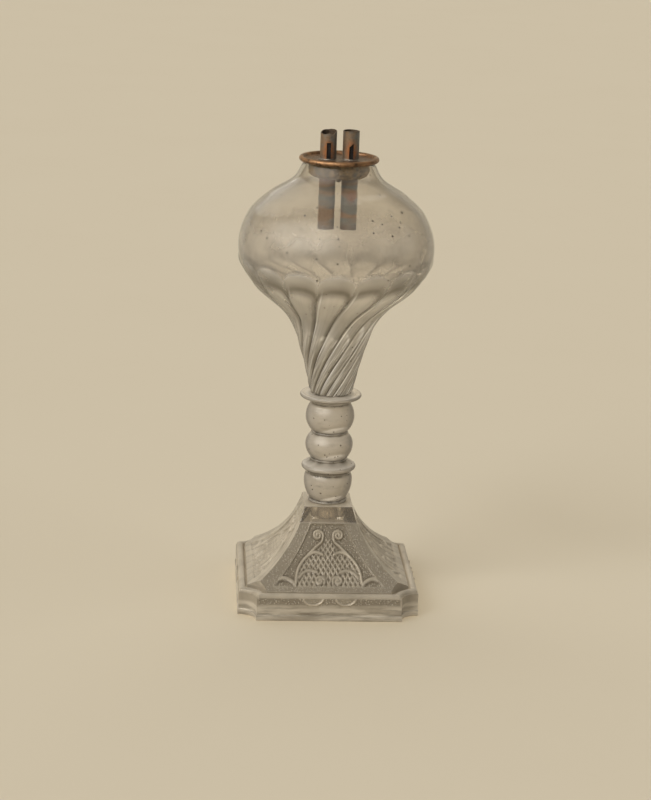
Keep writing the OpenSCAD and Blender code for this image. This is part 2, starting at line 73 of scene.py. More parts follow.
# Base: the plinth, the rail on it and the swept sides, as the frame has them
PLINTH_HALF = 50.0
PLINTH_H = 13.0
FOOT_BAND_H = 3.2
FOOT_BAND_OUT = high("base").x - PLINTH_HALF
NOTCH_R = 10.0
RAIL_R = 2.0
RAIL_INSET = 2.4
SWEEP_FOOT_HALF = 45.0
SWEEP_FOOT_Z = 15.2
BASE_H = high("base").z
SWEEP_CENTRE = (69.96, 67.55)
SWEEP_R = 58.0
CORNER_CUT_R = 16.4
BASE_WALL = 7.0
HOLLOW_HALF = PLINTH_HALF - NOTCH_R
HOLLOW_TOP_Z = low("stem_peg").z
SOCKET_R = high("stem_peg").x + 0.2
PANEL_FOOT_Z = 16.8
PANEL_TOP_Z = HOLLOW_TOP_Z
PANEL_HALF = 30.6
FRAME_W = 6.0

# Font: heights above its foot and radii that its outline runs through
FONT_RISES = (0, 22.5, 44.5, 64.5, 83, 101.5, 112.5, 120.5, 130.5)
FONT_RADII = (11.8, 17.3, 26.4, 47.5, 54, 48.7, 37.5, 25.2, 19.2)
FONT_Z = low("font").z
RIM_Z = high("font").z
BELLY_Z = FONT_Z + FONT_RISES[4]
PETAL_TOP_Z = high("gadroon").z
FONT_WALL = 2.0
FLOOR_Z = FONT_Z + 36
FLOOR_ROUND = 16.0
RIM_EDGE = 0.6

# Burner
DISC_Z = low("burner_disc").z
DISC_R = high("burner_disc").x
BEAD_R = 1.35
PLATE_T = 1.0
TUBE_X = (low("wick_tube_right").x + high("wick_tube_right").x) / 2
TUBE_R = (high("wick_tube_right").x - low("wick_tube_right").x) / 2
TUBE_WALL = 0.5
TUBE_FOOT_Z = low("wick_tube_left").z
TUBE_TOP_Z = high("wick_tube_left").z
SIDES = {"left": -1, "right": 1}


# Settings

def number(name, description, default):
    """A number that can be set in the sidebar."""
    return FloatProperty(name=name, description=description, default=default)


def tint(name, description, colour):
    """A colour that can be set in the sidebar."""
    return FloatVectorProperty(
        name=name, description=description, subtype="COLOR", size=4, default=(*colour, 1))


class LampShapeSettings(bpy.types.PropertyGroup):
    """Sizes of the lamp's worked detail, in millimetres and degrees"""

    rib_count: IntProperty(name="Ribs", description="Number of swirled ribs on the font", default=16, min=8)
    rib_turn: number("Rib turn", "Turn of the ribs from top to foot, in degrees", 98.0)
    rib_turn_power: number("Rib gathering", "How much faster ribs turn near the foot", 2.3)
    rib_start: number("Rib start", "Turn of the first valley from the lamp's right", 9.0)
    rib_t: number("Rib thickness", "Thickness of the second gather on a rib's crown", 2.4)
    valley_t: number("Valley thickness", "Thickness between two ribs", 0.55)
    petal_arch: number("Petal arch", "Height of the round top of each rib", 6.5)
    petal_lip: number("Petal lip", "Height over which a rib's top edge rolls over", 3.0)
    petal_swell: number("Petal swell", "Extra swelling under a rib's top", 0.4)
    petal_stand: number("Petal stand", "How far a rib's top stands out from the font", 0.45)
    ridge_h: number("Scroll height", "Height of the pressed scrolls", 1.0)
    lattice_h: number("Lattice height", "Height of the pressed lattice", 0.55)
    panel_sink: number("Panel depth", "Depth of the sunk panels", 0.6)
    weld: number("Weld", "How far glass pieces that are stuck together overlap", 0.1)


class LampColourSettings(bpy.types.PropertyGroup):
    """Colours of the lamp's finishes"""

    font_glass: tint("Font glass", "Tint of the clear glass", (0.93, 0.905, 0.865))
    font_cloud: tint("Font clouds", "Cloudier patches of the clear glass", (0.86, 0.83, 0.785))
    # Painted shade: the clear glass's colour where it is seen edge on.
    font_edge_shade: tint("Font edge", "Clear glass seen edge on", (0.22, 0.20, 0.165))
    film: tint("Film", "Grey film on the inside of the font", (0.60, 0.545, 0.46))
    rib_light: tint("Rib lights", "Light streaks in the ribs", (0.93, 0.89, 0.815))
    # Dark streaks, and the painted shade beside the creases and under the rib tops; the stem's clouds and
    # scratches use it too.
    rib_dark_and_shade: tint("Rib darks", "Dark streaks in the ribs", (0.31, 0.28, 0.23))
    gleam: tint("Gleam", "Bright lines beside the creases", (0.98, 0.96, 0.91))
    # Colour of the seeds, pits and joint dirt, and of the painted shade in the rib creases and under the rib
    # tops.
    glass_dirt_and_shade: tint("Glass dirt", "Dirt in creases, pits and seeds", (0.10, 0.085, 0.062))
    stem_glass: tint("Stem glass", "Tint of the solid stem", (0.76, 0.70, 0.605))
    # Painted shade: the stem glass's colour where it is seen edge on.
    stem_edge_shade: tint("Stem edge", "Stem glass seen edge on", (0.15, 0.13, 0.105))
    # Painted light: the lit tone of the scrolls, rail, top and stipple dots.
    base_lit: tint("Base lights", "Tint of the pressed scrolls", (0.75, 0.66, 0.515))
    # Painted shade: the shaded tone of the sunk ground, also the colour of the dark smears on the plinth.
    base_shade_and_dirt: tint("Base darks", "Tint of the sunk ground", (0.14, 0.115, 0.08))
    base_cloud: tint("Base clouds", "Darker patches of the base", (0.22, 0.185, 0.135))
    base_foot: tint("Base foot", "Light smears on the plinth", (0.63, 0.565, 0.455))
    base_clear: tint("Base window", "Clear glass round the peg", (0.76, 0.69, 0.58))
    copper: tint("Copper", "Clean brown of the plate", (0.29, 0.16, 0.078))
    plate_dark: tint("Plate middle", "Dark dished middle of the plate", (0.10, 0.056, 0.031))
    plate_spot: tint("Plate spots", "Black spots on the plate", (0.03, 0.02, 0.013))
    tarnish: tint("Tarnish", "Dark tarnish in the hollows", (0.072, 0.049, 0.032))
    tube_tan: tint("Tube tan", "Heat-browned tube", (0.222, 0.15, 0.092))
    # Painted shade: the tubes' right side above the plate, away from the key light.
    tube_shade: tint("Tube shade", "Cooler side of a tube above the plate", (0.16, 0.158, 0.143))
    tube_grey: tint("Tube grey", "Grey tube metal below the plate", (0.24, 0.245, 0.228))
    tube_band: tint("Tube bands", "Brown bands below the plate", (0.36, 0.235, 0.14))
    tube_foot: tint("Tube foot", "Dark lower end of a tube", (0.12, 0.085, 0.055))
    rust: tint("Rust", "Rust near the slots", (0.34, 0.135, 0.05))
    solder: tint("Solder", "Dull soft solder", (0.26, 0.24, 0.21))
    cork: tint("Cork", "Oil-soaked cork", (0.40, 0.285, 0.145))
    cork_dark: tint("Cork darks", "Dark mottling of the cork", (0.13, 0.095, 0.055))
    cork_bloom: tint("Cork bloom", "Grey bloom on the cork", (0.15, 0.155, 0.135))
    cork_pore: tint("Cork pores", "Pores of the cork", (0.035, 0.025, 0.018))
    wick: tint("Wick", "Clean cotton", (0.62, 0.55, 0.42))
    wick_yarn: tint("Wick yarn", "Yellowed strands of cotton", (0.40, 0.33, 0.22))
    soot: tint("Soot", "Charred cotton", (0.012, 0.010, 0.009))


class LampStageSettings(bpy.types.PropertyGroup):
    """The floor, the lights and the camera"""

    paper: tint("Floor", "Colour of the plain pale floor", (0.627, 0.547, 0.4085))
    mottle: tint("Floor clouds", "Faint darker patches of the floor", (0.586, 0.4975, 0.361))
    key: number("Key light", "Strength of the soft light from the left", 2.2)
    back: number("Back light", "Strength of the soft light from behind", 1.35)
    fill: number("Fill light", "Strength of the soft light from the right", 0.57)
    sky: number("Sky", "Strength of the even light from all round", 0.17)
    shine: number("Shine", "Strength of the soft light on the left as gloss shows it", 6.5)
    azimuth: number("Azimuth", "Camera turn about the lamp, in degrees", -4.0)
    elevation: number("Elevation", "Camera height above level, in degrees", 14.7)
    roll: number("Roll", "Lean of the lamp in the view, in degrees", 2.05)
    distance: FloatProperty(
        name="Distance", description="Camera distance from the lamp", unit="LENGTH", default=1.2)
    lens: number("Lens", "Focal length in millimetres", 96.6)


# Modelling helpers

MERGE_GAP = 0.0005
HOLE_POINTS = 72


def arc(centre, radius, start, end, count=8):
    """Points of an arc in the outline plane, from one angle to another in degrees."""
    turns = np.radians(np.linspace(start, end, count + 1))
    return [(centre[0] + radius * math.cos(a), centre[1] + radius * math.sin(a)) for a in turns]


def turned(name, outline, steps, closed=False):
    """Spins an outline of (radius, height) points, in millimetres, about the lamp's axis."""
    bpy.ops.object.select_all(action="DESELECT")
    bpy.ops.mesh.primitive_circle_add(vertices=len(outline), radius=MM, fill_type="NOTHING")
    piece = bpy.context.active_object
    piece.name = piece.data.name = name
    set_points(piece, np.array([(r, 0, z) for r, z in outline]))
    bpy.ops.object.mode_set(mode="EDIT")
    if not closed:
        open_ring(piece)
    bpy.ops.mesh.select_all(action="SELECT")
    bpy.ops.mesh.spin(steps=steps, angle=TURN, center=(0, 0, 0), axis=(0, 0, 1))
    tidy_faces()
    return piece


def open_ring(piece):
    """In edit mode: deletes the edge between a ring's last and first points."""
    bpy.ops.mesh.select_all(action="DESELECT")
    bpy.ops.object.mode_set(mode="OBJECT")
    last = len(piece.data.vertices) - 1
    for edge in piece.data.edges:
        edge.select = set(edge.vertices) == {0, last}
    bpy.ops.object.mode_set(mode="EDIT")
    bpy.ops.mesh.delete(type="EDGE")


def sheet(name, columns, rows):
    """A fine flat sheet to be rolled up into a piece, with the column and row of each of its points."""
    bpy.ops.object.select_all(action="DESELECT")
    bpy.ops.mesh.primitive_grid_add(x_subdivisions=columns, y_subdivisions=rows, size=2 * MM)
    piece = bpy.context.active_object
    piece.name = piece.data.name = name
    points = points_of(piece)
    column = np.round((points[:, 0] + 1) / 2 * columns).astype(int)
    row = np.round((points[:, 1] + 1) / 2 * rows).astype(int)
    return piece, column, row


def weld_sheet(piece, points):
    """Moves a sheet's points into place and welds the edges that meet."""
    set_points(piece, points)
    bpy.ops.object.mode_set(mode="EDIT")
    tidy_faces()


def tidy_faces():
    """In edit mode: merges doubled points, turns all faces outwards and leaves edit mode."""
    bpy.ops.mesh.select_all(action="SELECT")
    bpy.ops.mesh.remove_doubles(threshold=MERGE_GAP * MM)
    bpy.ops.mesh.normals_make_consistent(inside=False)
    bpy.ops.object.mode_set(mode="OBJECT")


def points_of(piece):
    """The piece's points, in millimetres, as rows of x, y and z."""
    flat = np.empty(len(piece.data.vertices) * 3)
    piece.data.vertices.foreach_get("co", flat)
    return flat.reshape(-1, 3) / MM


def set_points(piece, points):
    """Moves the piece's points to new places in millimetres."""
    piece.data.vertices.foreach_set("co", (points * MM).ravel())
    piece.data.update()


def set_beside(piece, side, radius, angle, z):
    """Moves a turned piece's points to new radii, angles and heights about the axis of one wick tube."""
    set_points(piece, place_round(radius, angle, z) + (side * TUBE_X, 0, 0))


def round_axis(points):
    """Radius and angle of each point about the lamp's axis."""
    return np.hypot(points[:, 0], points[:, 1]), np.arctan2(points[:, 1], points[:, 0])


def place_round(radius, angle, z):
    """Points from radii, angles and heights about the lamp's axis."""
    return np.column_stack([radius * np.cos(angle), radius * np.sin(angle), z])


def ripple(points, size, seed, waves=7):
    """A smooth uneven field from about -1 to 1 with bumps of about one size, in millimetres."""
    rng = np.random.default_rng(seed)
    total = np.zeros(len(points))
    for _ in range(waves):
        direction = rng.normal(size=3)
        direction *= TURN / size / np.linalg.norm(direction) * rng.uniform(0.6, 1.4)
        total += np.sin(points @ direction + rng.uniform(0, TURN))
    return total / waves * 1.6


def unit(value):
    """Keeps values between 0 and 1."""
    return np.clip(value, 0, 1)


def ease(value, start, end):
    """A smooth step from 0 to 1."""
    t = unit((value - start) / (end - start))
    return t * t * (3 - 2 * t)


def hump(value, middle, width):
    """A smooth hump of height 1 round a middle value."""
    return np.exp(-((value - middle) / width) ** 2)


def bead(off):
    """Height of a half-round bead at a distance from its middle, both as shares of its radius."""
    return np.sqrt(unit(1 - off ** 2))


def hand_worked(piece, amount, size, seed):
    """Gives a turned piece the slight unevenness of hot glass or beaten metal."""
    points = points_of(piece)
    radius, angle = round_axis(points)
    radius = radius * (1 + amount / max(radius.max(), 1) * ripple(points, size, seed))
    set_points(piece, place_round(radius, angle, points[:, 2]))


def cut_out(piece, cutter):
    """Cuts one object out of another and deletes the cutter."""
    bpy.ops.object.select_all(action="DESELECT")
    bpy.context.view_layer.objects.active = piece
    piece.select_set(True)
    boolean = piece.modifiers.new("cut", "BOOLEAN")
    boolean.operation = "DIFFERENCE"
    boolean.solver = "EXACT"
    boolean.object = cutter
    bpy.ops.object.modifier_apply(modifier=boolean.name)
    bpy.data.objects.remove(cutter)


def cut_tube_holes(piece, foot_z, top_z):
    """Cuts the two holes that the wick tubes pass through."""
    for side in SIDES.values():
        bpy.ops.object.select_all(action="DESELECT")
        bpy.ops.mesh.primitive_cylinder_add(
            vertices=HOLE_POINTS, radius=TUBE_R * MM, depth=(top_z - foot_z) * MM,
            location=(side * TUBE_X * MM, 0, (foot_z + top_z) / 2 * MM))
        cut_out(piece, bpy.context.active_object)


def paint(piece, layer, values):
    """Keeps a number for each point of a piece, for its finish to read."""
    attribute = piece.data.attributes.new(layer, "FLOAT", "POINT")
    attribute.data.foreach_set("value", np.asarray(values, np.float32))


def finish_piece(piece, body, material, nodes, smooth):
    """Shades a piece smooth up to an angle in degrees, gives it its finish and lets it ride on its body."""
    bpy.ops.object.select_all(action="DESELECT")
    piece.select_set(True)
    bpy.context.view_layer.objects.active = piece
    bpy.ops.object.transform_apply(location=True, rotation=True, scale=True)
    bpy.ops.object.shade_smooth_by_angle(angle=math.radians(smooth))
    piece.data.materials.clear()
    piece.data.materials.append(material)
    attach(piece, body)
    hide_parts(*nodes)


# Finishes

GLASS_IOR = 1.5
SHADOW_TINT = (0.9, 0.88, 0.84, 1)
DEPTH_TINT = (0.52, 0.50, 0.46, 1)


class Nodes:
    """A node tree being filled: nodes are added, set and linked."""

    def __init__(self, tree):
        self.tree = tree
        self.tree.nodes.clear()

    def add(self, kind, inputs=None, **settings):
        """Adds a node, sets its settings and feeds its inputs."""
        node = self.tree.nodes.new(kind)
        for name, value in settings.items():
            setattr(node, name, value)
        for name, value in (inputs or {}).items():
            self.feed(node.inputs[name], value)
        return node

    def feed(self, socket, value):
        """Links a socket to another, or sets its value."""
        if isinstance(value, bpy.types.NodeSocket):
            self.tree.links.new(value, socket)
        else:
            socket.default_value = value

    def spread(self, value, start, end, least=0.0, most=1.0):
        """Maps a range of values to another, smoothly."""
        return self.add("ShaderNodeMapRange", {
            "Value": value, "From Min": start, "From Max": end,
            "To Min": least, "To Max": most}, interpolation_type="SMOOTHSTEP").outputs["Result"]

    def math(self, operation, first, second):
        """One sum of two numbers."""
        return self.add("ShaderNodeMath", {0: first, 1: second}, operation=operation).outputs["Value"]

    def times(self, first, *others):
        """The product of some numbers."""
        for other in others:
            first = self.math("MULTIPLY", first, other)
        return first

    def mix(self, share, first, second):
        """A mix of two colours."""
        node = self.add("ShaderNodeMix", {"Factor": share}, data_type="RGBA")
        self.feed(node.inputs[6], first)
        self.feed(node.inputs[7], second)
        return node.outputs[2]

    def coats(self, colour, *layers):
        """A colour with others laid over it in turn, each given as its share and its colour."""
        for share, layer in layers:
            colour = self.mix(share, colour, layer)
        return colour


class Finish(Nodes):
    """A material being made, with its variation placed by object coordinates."""

    def __init__(self, name):
        self.material = bpy.data.materials.new(name)
        self.material.use_nodes = True
        super().__init__(self.material.node_tree)
        self.output = self.add("ShaderNodeOutputMaterial")
        self.place = self.add("ShaderNodeTexCoord").outputs["Object"]

    def stretched(self, *scale):
        """Object coordinates stretched by three factors."""
        return self.add("ShaderNodeMapping", {"Vector": self.place, "Scale": scale}).outputs["Vector"]

    def noise(self, size, detail, rough=0.55, where=None):
        """Cloudy variation with features of about one size, in millimetres."""
        return self.add("ShaderNodeTexNoise", {
            "Vector": where or self.place, "Scale": 1 / (size * MM), "Detail": detail,
            "Roughness": rough}).outputs["Fac"]

    def clouds(self, size, detail, start, end, least=0.0, most=1.0, rough=0.55, where=None):
        """Cloudy variation that runs smoothly from a least to a most value."""
        return self.spread(self.noise(size, detail, rough, where), start, end, least, most)

    def cells(self, size, output="Distance"):
        """Cells of about one size, in millimetres."""
        return self.add("ShaderNodeTexVoronoi", {
            "Vector": self.place, "Scale": 1 / (size * MM)}).outputs[output]

    def seeds(self, size, share, dot_r):
        """Small seeds and pits of up to one radius, in millimetres, in a share of cells of one size."""
        random = self.add("ShaderNodeSeparateColor", {"Color": self.cells(size, "Color")}).outputs
        chosen = self.math("GREATER_THAN", random[0], 1 - share)
        radius = self.spread(random[1], 0.0, 1.0, 0.35 * dot_r / size, dot_r / size)
        near = self.math("DIVIDE", self.cells(size), radius)
        return self.times(self.spread(near, 0.6, 1.0, 1.0, 0.0), chosen)

    def layer(self, name):
        """A number kept on the piece's points."""
        return self.add("ShaderNodeAttribute", attribute_name=name).outputs["Fac"]

    def part(self, vector, axis):
        """One part of a vector."""
        return self.add("ShaderNodeSeparateXYZ", {"Vector": vector}).outputs[axis]

    def height(self):
        """Height above the table, in metres."""
        return self.part(self.place, "Z")

    def normal(self, axis):
        """One part of the surface's normal."""
        return self.part(self.add("ShaderNodeNewGeometry").outputs["Normal"], axis)

    def edge_shade(self, start, end, depth):
        """Painted shade: how much darker glass is painted where it is seen edge on, standing in for its
        longer path through its own depth there.
        """
        facing = self.add("ShaderNodeLayerWeight", {"Blend": 0.5}).outputs["Facing"]
        return self.spread(facing, start, end, 0.0, depth)

    def bump(self, height, depth):
        """A bumped normal, with its depth in millimetres."""
        return self.add("ShaderNodeBump", {"Height": height, "Distance": depth * MM}).outputs["Normal"]

    def surface(self, **inputs):
        """The main shader; underscores in names stand for spaces."""
        named = {name.replace("_", " "): value for name, value in inputs.items()}
        return self.add("ShaderNodeBsdfPrincipled", named)

    def done(self, **inputs):
        """Links the main shader to the output and gives the material."""
        self.feed(self.output.inputs["Surface"], self.surface(**inputs).outputs[0])
        return self.material

    def done_glass(self, density, **inputs):
        """As done, for glass that lets light through in its shadow and darkens with depth."""
        shader = self.surface(IOR=GLASS_IOR, **inputs)
        shadow = self.add("ShaderNodeLightPath").outputs["Is Shadow Ray"]
        clear = self.add("ShaderNodeBsdfTransparent", {"Color": SHADOW_TINT})
        both = self.add("ShaderNodeMixShader", {0: shadow, 1: shader.outputs[0], 2: clear.outputs[0]})
        depth = self.add("ShaderNodeVolumeAbsorption", {"Color": DEPTH_TINT, "Density": density})
        self.feed(self.output.inputs["Surface"], both.outputs[0])
        self.feed(self.output.inputs["Volume"], depth.outputs[0])
        return self.material


def font_glass(colours):
    """Blown glass: seeded, with a grey film inside it, milky over the ribs, with painted shade in their
    creases and under their round tops and painted shade where it is seen edge on.
    """
    finish = Finish("blown_glass")
    haze, streak, gleam = (finish.layer(name) for name in ("haze", "streak", "gleam"))
    film = finish.times(finish.layer("film"), finish.clouds(13, 4, 0.3, 0.65, 0.5))
    # Painted shade towards the font's outlines, where it is seen edge on.
    edge = finish.edge_shade(0.3, 0.95, 1.0)
    seed = finish.seeds(5.6, 0.62, 0.8)
    clear = finish.coats(
        colours.font_glass, (finish.clouds(22, 3, 0.35, 0.75), colours.font_cloud), (film, colours.film))
    milky = finish.coats(colours.rib_light, (streak, colours.rib_dark_and_shade), (gleam, colours.gleam))
    colour = finish.coats(
        clear, (haze, milky), (edge, colours.font_edge_shade), (finish.layer("crease"), colours.glass_dirt_and_shade),
        (seed, colours.glass_dirt_and_shade))
    through = finish.times(
        finish.spread(haze, 0, 1, 0.98, 0.64), finish.math("SUBTRACT", 1.0, seed),
        finish.spread(edge, 0.4, 0.9, 1.0, 0.5), finish.spread(gleam, 0.1, 1.0, 1.0, 0.35),
        finish.spread(film, 0.0, 1.0, 1.0, 0.4), finish.spread(streak, 0.5, 1.0, 1.0, 0.7))
    return finish.done_glass(
        14.0, Base_Color=colour, Roughness=finish.spread(haze, 0, 1, 0.02, 0.22), Transmission_Weight=through,
        Specular_Tint=(0.4, 0.4, 0.4, 1), Normal=finish.bump(finish.noise(14, 2), 0.12))


def stem_glass(colours):
    """Solid glass of the stem: soft and hazy, with pits, drawn scratches, dirt in the joints and painted
    shade where it is seen edge on.
    """
    finish = Finish("stem_glass")
    drawn = finish.stretched(1, 1, 3)
    # Painted shade where the stem is seen edge on, left off its upward faces.
    shelf = finish.spread(finish.normal("Z"), 0.5, 0.9, 1.0, 0.0)
    edge = finish.times(finish.edge_shade(0.0, 0.75, 0.85), shelf)
    scratch = finish.clouds(5, 5, 0.60, 0.72, 0.0, 0.4, 0.6, finish.stretched(0.4, 0.4, 4))
    colour = finish.coats(
        colours.stem_glass, (finish.clouds(9, 4, 0.5, 0.85, 0.0, 0.5, where=drawn), colours.rib_dark_and_shade),
        (edge, colours.stem_edge_shade), (finish.seeds(2.9, 0.7, 0.6), colours.glass_dirt_and_shade),
        (scratch, colours.rib_dark_and_shade), (finish.layer("grime"), colours.glass_dirt_and_shade))
    through = finish.times(
        finish.spread(edge, 0.1, 0.8, 0.62, 0.2), finish.spread(shelf, 0.0, 1.0, 0.75, 1.0))
    return finish.done_glass(
        20.0, Base_Color=colour, Roughness=0.14, Transmission_Weight=through,
        Specular_Tint=(0.6, 0.6, 0.6, 1), Normal=finish.bump(finish.noise(6, 3, where=drawn), 0.05))


def pressed_glass(colours):
    """Pressed glass of the base: scrolls painted bright and the stippled ground painted dark as light and
    shade on its relief, clear round the peg.
    """
    finish = Finish("pressed_glass")
    clear = finish.layer("clear")
    foot = finish.spread(finish.height(), (FOOT_BAND_H + 4) * MM, (FOOT_BAND_H + 6) * MM, 1.0, 0.0)
    smear = finish.clouds(7, 5, 0.36, 0.60, where=finish.stretched(0.25, 0.25, 1.8))
    dirt = finish.clouds(5, 5, 0.50, 0.68, 0.0, 0.5, 0.6, finish.stretched(0.2, 0.2, 1.8))
    stipple = finish.times(finish.spread(finish.cells(1.25), 0.15, 0.5, 1.0, 0.0), finish.layer("stipple"))
    colour = finish.coats(
        colours.base_shade_and_dirt, (finish.layer("relief"), colours.base_lit),
        (finish.clouds(9, 4, 0.35, 0.75, 0.0, 0.45), colours.base_cloud),
        (finish.times(foot, smear), colours.base_foot), (finish.times(stipple, 0.6), colours.base_lit),
        (finish.times(foot, dirt), colours.base_shade_and_dirt), (clear, colours.base_clear))
    return finish.done_glass(
        16.0, Base_Color=colour, Roughness=finish.spread(clear, 0, 1, 0.3, 0.03),
        Transmission_Weight=finish.spread(clear, 0, 1, 0.22, 0.88), Specular_Tint=(0.7, 0.7, 0.7, 1),
        Normal=finish.bump(stipple, 0.4))


def copper_plate(colours):
    """Tarnished plate: worn brown bead, dark dished middle, rusty stains and black spots."""
    finish = Finish("copper_plate")
    worn = finish.times(finish.layer("wear"), finish.times(
        finish.clouds(3.5, 5, 0.25, 0.6, 0.45), finish.clouds(9, 3, 0.40, 0.60, 0.40, 1.15)))
    colour = finish.coats(
        colours.plate_dark, (worn, colours.copper),
        (finish.clouds(2.2, 6, 0.56, 0.70, 0.0, 0.5, 0.7), colours.rust),
        (finish.clouds(2.4, 5, 0.50, 0.64, 0.0, 0.8, 0.7), colours.plate_spot))
    return finish.done(
        Base_Color=colour, Roughness=finish.clouds(1.6, 5, 0.3, 0.7, 0.26, 0.5), Metallic=0.65,
        Normal=finish.bump(finish.noise(0.9, 5, 0.65), 0.10))


def tube_metal(colours):
    """Rolled tube: heat-browned above the plate with painted shade on its right side, grey with brown bands
    below it, rust round the slot.
    """
    finish = Finish("tube_metal")
    height = finish.math("ADD", finish.height(), finish.times(finish.noise(4, 3), 6 * MM))
    above = finish.spread(height, (DISC_Z - 2) * MM, (DISC_Z + 6) * MM)
    foot = finish.spread(height, (TUBE_FOOT_Z + 2) * MM, (TUBE_FOOT_Z + 9) * MM, 1.0, 0.0)
    bands = finish.clouds(6, 2, 0.42, 0.62, where=finish.stretched(0.15, 0.15, 1))
    # Painted shade: darker on the side facing right, away from the key light, with cloudy edges.
    shaded_side = finish.math("ADD", finish.spread(finish.normal("X"), -0.6, 0.8),
                       finish.clouds(3, 4, 0.4, 0.65, -0.3, 0.5))
    rust = finish.times(finish.layer("rust"), finish.clouds(2.4, 5, 0.25, 0.5, rough=0.65))
    colour = finish.coats(
        colours.tube_grey, (bands, colours.tube_band), (foot, colours.tube_foot),
        (above, finish.mix(shaded_side, colours.tube_tan, colours.tube_shade)), (rust, colours.rust),
        (finish.times(finish.layer("sooty"), 0.9), colours.tarnish),
        (finish.clouds(1.1, 5, 0.53, 0.68, 0.0, 0.6, 0.7), colours.tarnish))
    return finish.done(
        Base_Color=colour, Roughness=finish.clouds(1.4, 4, 0.3, 0.7, 0.38, 0.66), Metallic=0.55,
        Normal=finish.bump(finish.noise(0.7, 5, 0.65), 0.07))


def solder_metal(colours):
    """Dull soft solder, wrinkled and darkened."""
    finish = Finish("solder")
    colour = finish.mix(finish.clouds(1.2, 5, 0.35, 0.7), colours.solder, colours.tarnish)
    return finish.done(
        Base_Color=colour, Roughness=0.5, Metallic=0.7, Normal=finish.bump(finish.noise(0.5, 4), 0.08))


def cork_bark(colours):
    """Oil-soaked cork: mottled brown with dark pores and grey bloom."""
    finish = Finish("cork")
    pores = finish.spread(finish.cells(1.5), 0.12, 0.30, 1.0, 0.0)
    colour = finish.coats(
        colours.cork, (finish.clouds(3.2, 5, 0.3, 0.7, rough=0.65), colours.cork_dark),
        (finish.clouds(5.5, 3, 0.5, 0.72, 0.0, 0.55), colours.cork_bloom),
        (finish.times(pores, 0.8), colours.cork_pore))
    pitted = finish.math("SUBTRACT", finish.noise(1.1, 4), pores)
    return finish.done(Base_Color=colour, Roughness=0.75, Normal=finish.bump(pitted, 0.3))


def wick_cotton(colours):
    """Braided cotton, yellowed by oil and charred towards the top."""
    finish = Finish("wick_cotton")
    colour = finish.coats(
        colours.wick, (finish.clouds(0.6, 3, 0.3, 0.7), colours.wick_yarn),
        (finish.layer("char"), colours.soot))
    return finish.done(
        Base_Color=colour, Roughness=0.9, Sheen_Weight=0.3, Normal=finish.bump(finish.noise(0.25, 3), 0.08))


# Base

# Columns of points, bevels and heights of the base's levels
SIDE_COLUMNS = 159
CORNER_COLUMNS = 7
COLUMN_SPREAD = 1.15
RIDGE_FILLET = 0.5
FOOT_BEVEL = 0.4
BAND_BEVEL = 0.3
EDGE_BEVEL = 0.2
TOP_BEVEL = 0.25
RAIL_LIFT = 0.05
WALL_MID_Z = 6
STRIP_FOOT_Z = 8.8
PANEL_FINE_Z = 31
HOLLOW_SIDE_Z = 10
SOCKET_GAP = 0.3

# Painted light and shade of the pressed glass, from 0 for dark to 1 for light: tops, rail and raised ornament
# lit, sunk ground, the groove at the foot band and the sides of scrolls shaded
PLAIN_TONE = 0.47
GROOVE_SHADE_TONE = 0.05
RAIL_TONE = 0.62
TOP_TONE = 0.7
WALL_TONE = 0.55
FRAME_TONE = 0.25
SIDE_TONE = 0.523
SIDE_CONTRAST = 0.35
SIDE_STIPPLE = 0.4
FRAME_STIPPLE = 0.45
SUNK_SHADE = 0.1
SCROLL_SHADE = 0.3
STRIP_SHADE = 0.3
FAN_SHADE = 0.2
SCROLL_LIGHT = 0.55
LATTICE_LIGHT = 0.5
LIP_LIGHT = 0.15
SWAG_LIGHT = 0.6
BOWL_LIGHT = 0.15


def corner_arc(half, straight, mid):
    """Points of the corner between two sides: an arc from one straight end to the next."""
    normal = np.array([1, -1]) / math.sqrt(2)
    along = np.array([1, 1]) / math.sqrt(2)
    start = np.array([straight, -half])
    chord = math.sqrt(2) * (half - straight)
    middle = start + along * chord / 2
    sagitta = mid - middle @ normal
    share = np.arange(1, CORNER_COLUMNS + 1) / (CORNER_COLUMNS + 1)
    if abs(sagitta) < 1e-6:
        return start + np.outer(share, along * chord)
    radius = (chord ** 2 / 4 + sagitta ** 2) / (2 * abs(sagitta))
    reach = math.asin(min(chord / 2 / radius, 1))
    turn = -reach + 2 * reach * share
    rise = math.copysign(1, sagitta) * (radius * np.cos(turn) - radius + abs(sagitta))
    return middle + np.outer(radius * np.sin(turn), along) + np.outer(rise, normal)


def square_ring(half, cut_r):
    """One level of the base: the points of a quarter, along its straight side and round its corner."""
    reach = cut_r ** 2 - (PLINTH_HALF - half) ** 2
    cut = PLINTH_HALF - math.sqrt(reach) if reach > 0 else half
    if cut < half - RIDGE_FILLET:
        straight, mid = cut, PLINTH_HALF * math.sqrt(2) - cut_r
    else:
        straight = half - RIDGE_FILLET
        mid = straight * math.sqrt(2) + RIDGE_FILLET
    share = np.linspace(-1, 1, SIDE_COLUMNS)
    along = straight * np.sign(share) * np.abs(share) ** COLUMN_SPREAD
    side = np.column_stack([along, np.full(SIDE_COLUMNS, -half)])
    return np.vstack([side, corner_arc(half, straight, mid)])


def round_ring(radius, like):
    """A circle with its points in the same directions as those of a square ring's quarter."""
    return like / np.linalg.norm(like, axis=1)[:, None] * radius


def sweep_half(z, radius):
    """Half width of the swept sides at a height."""
    return SWEEP_CENTRE[0] - math.sqrt(max(radius ** 2 - (z - SWEEP_CENTRE[1]) ** 2, 0))


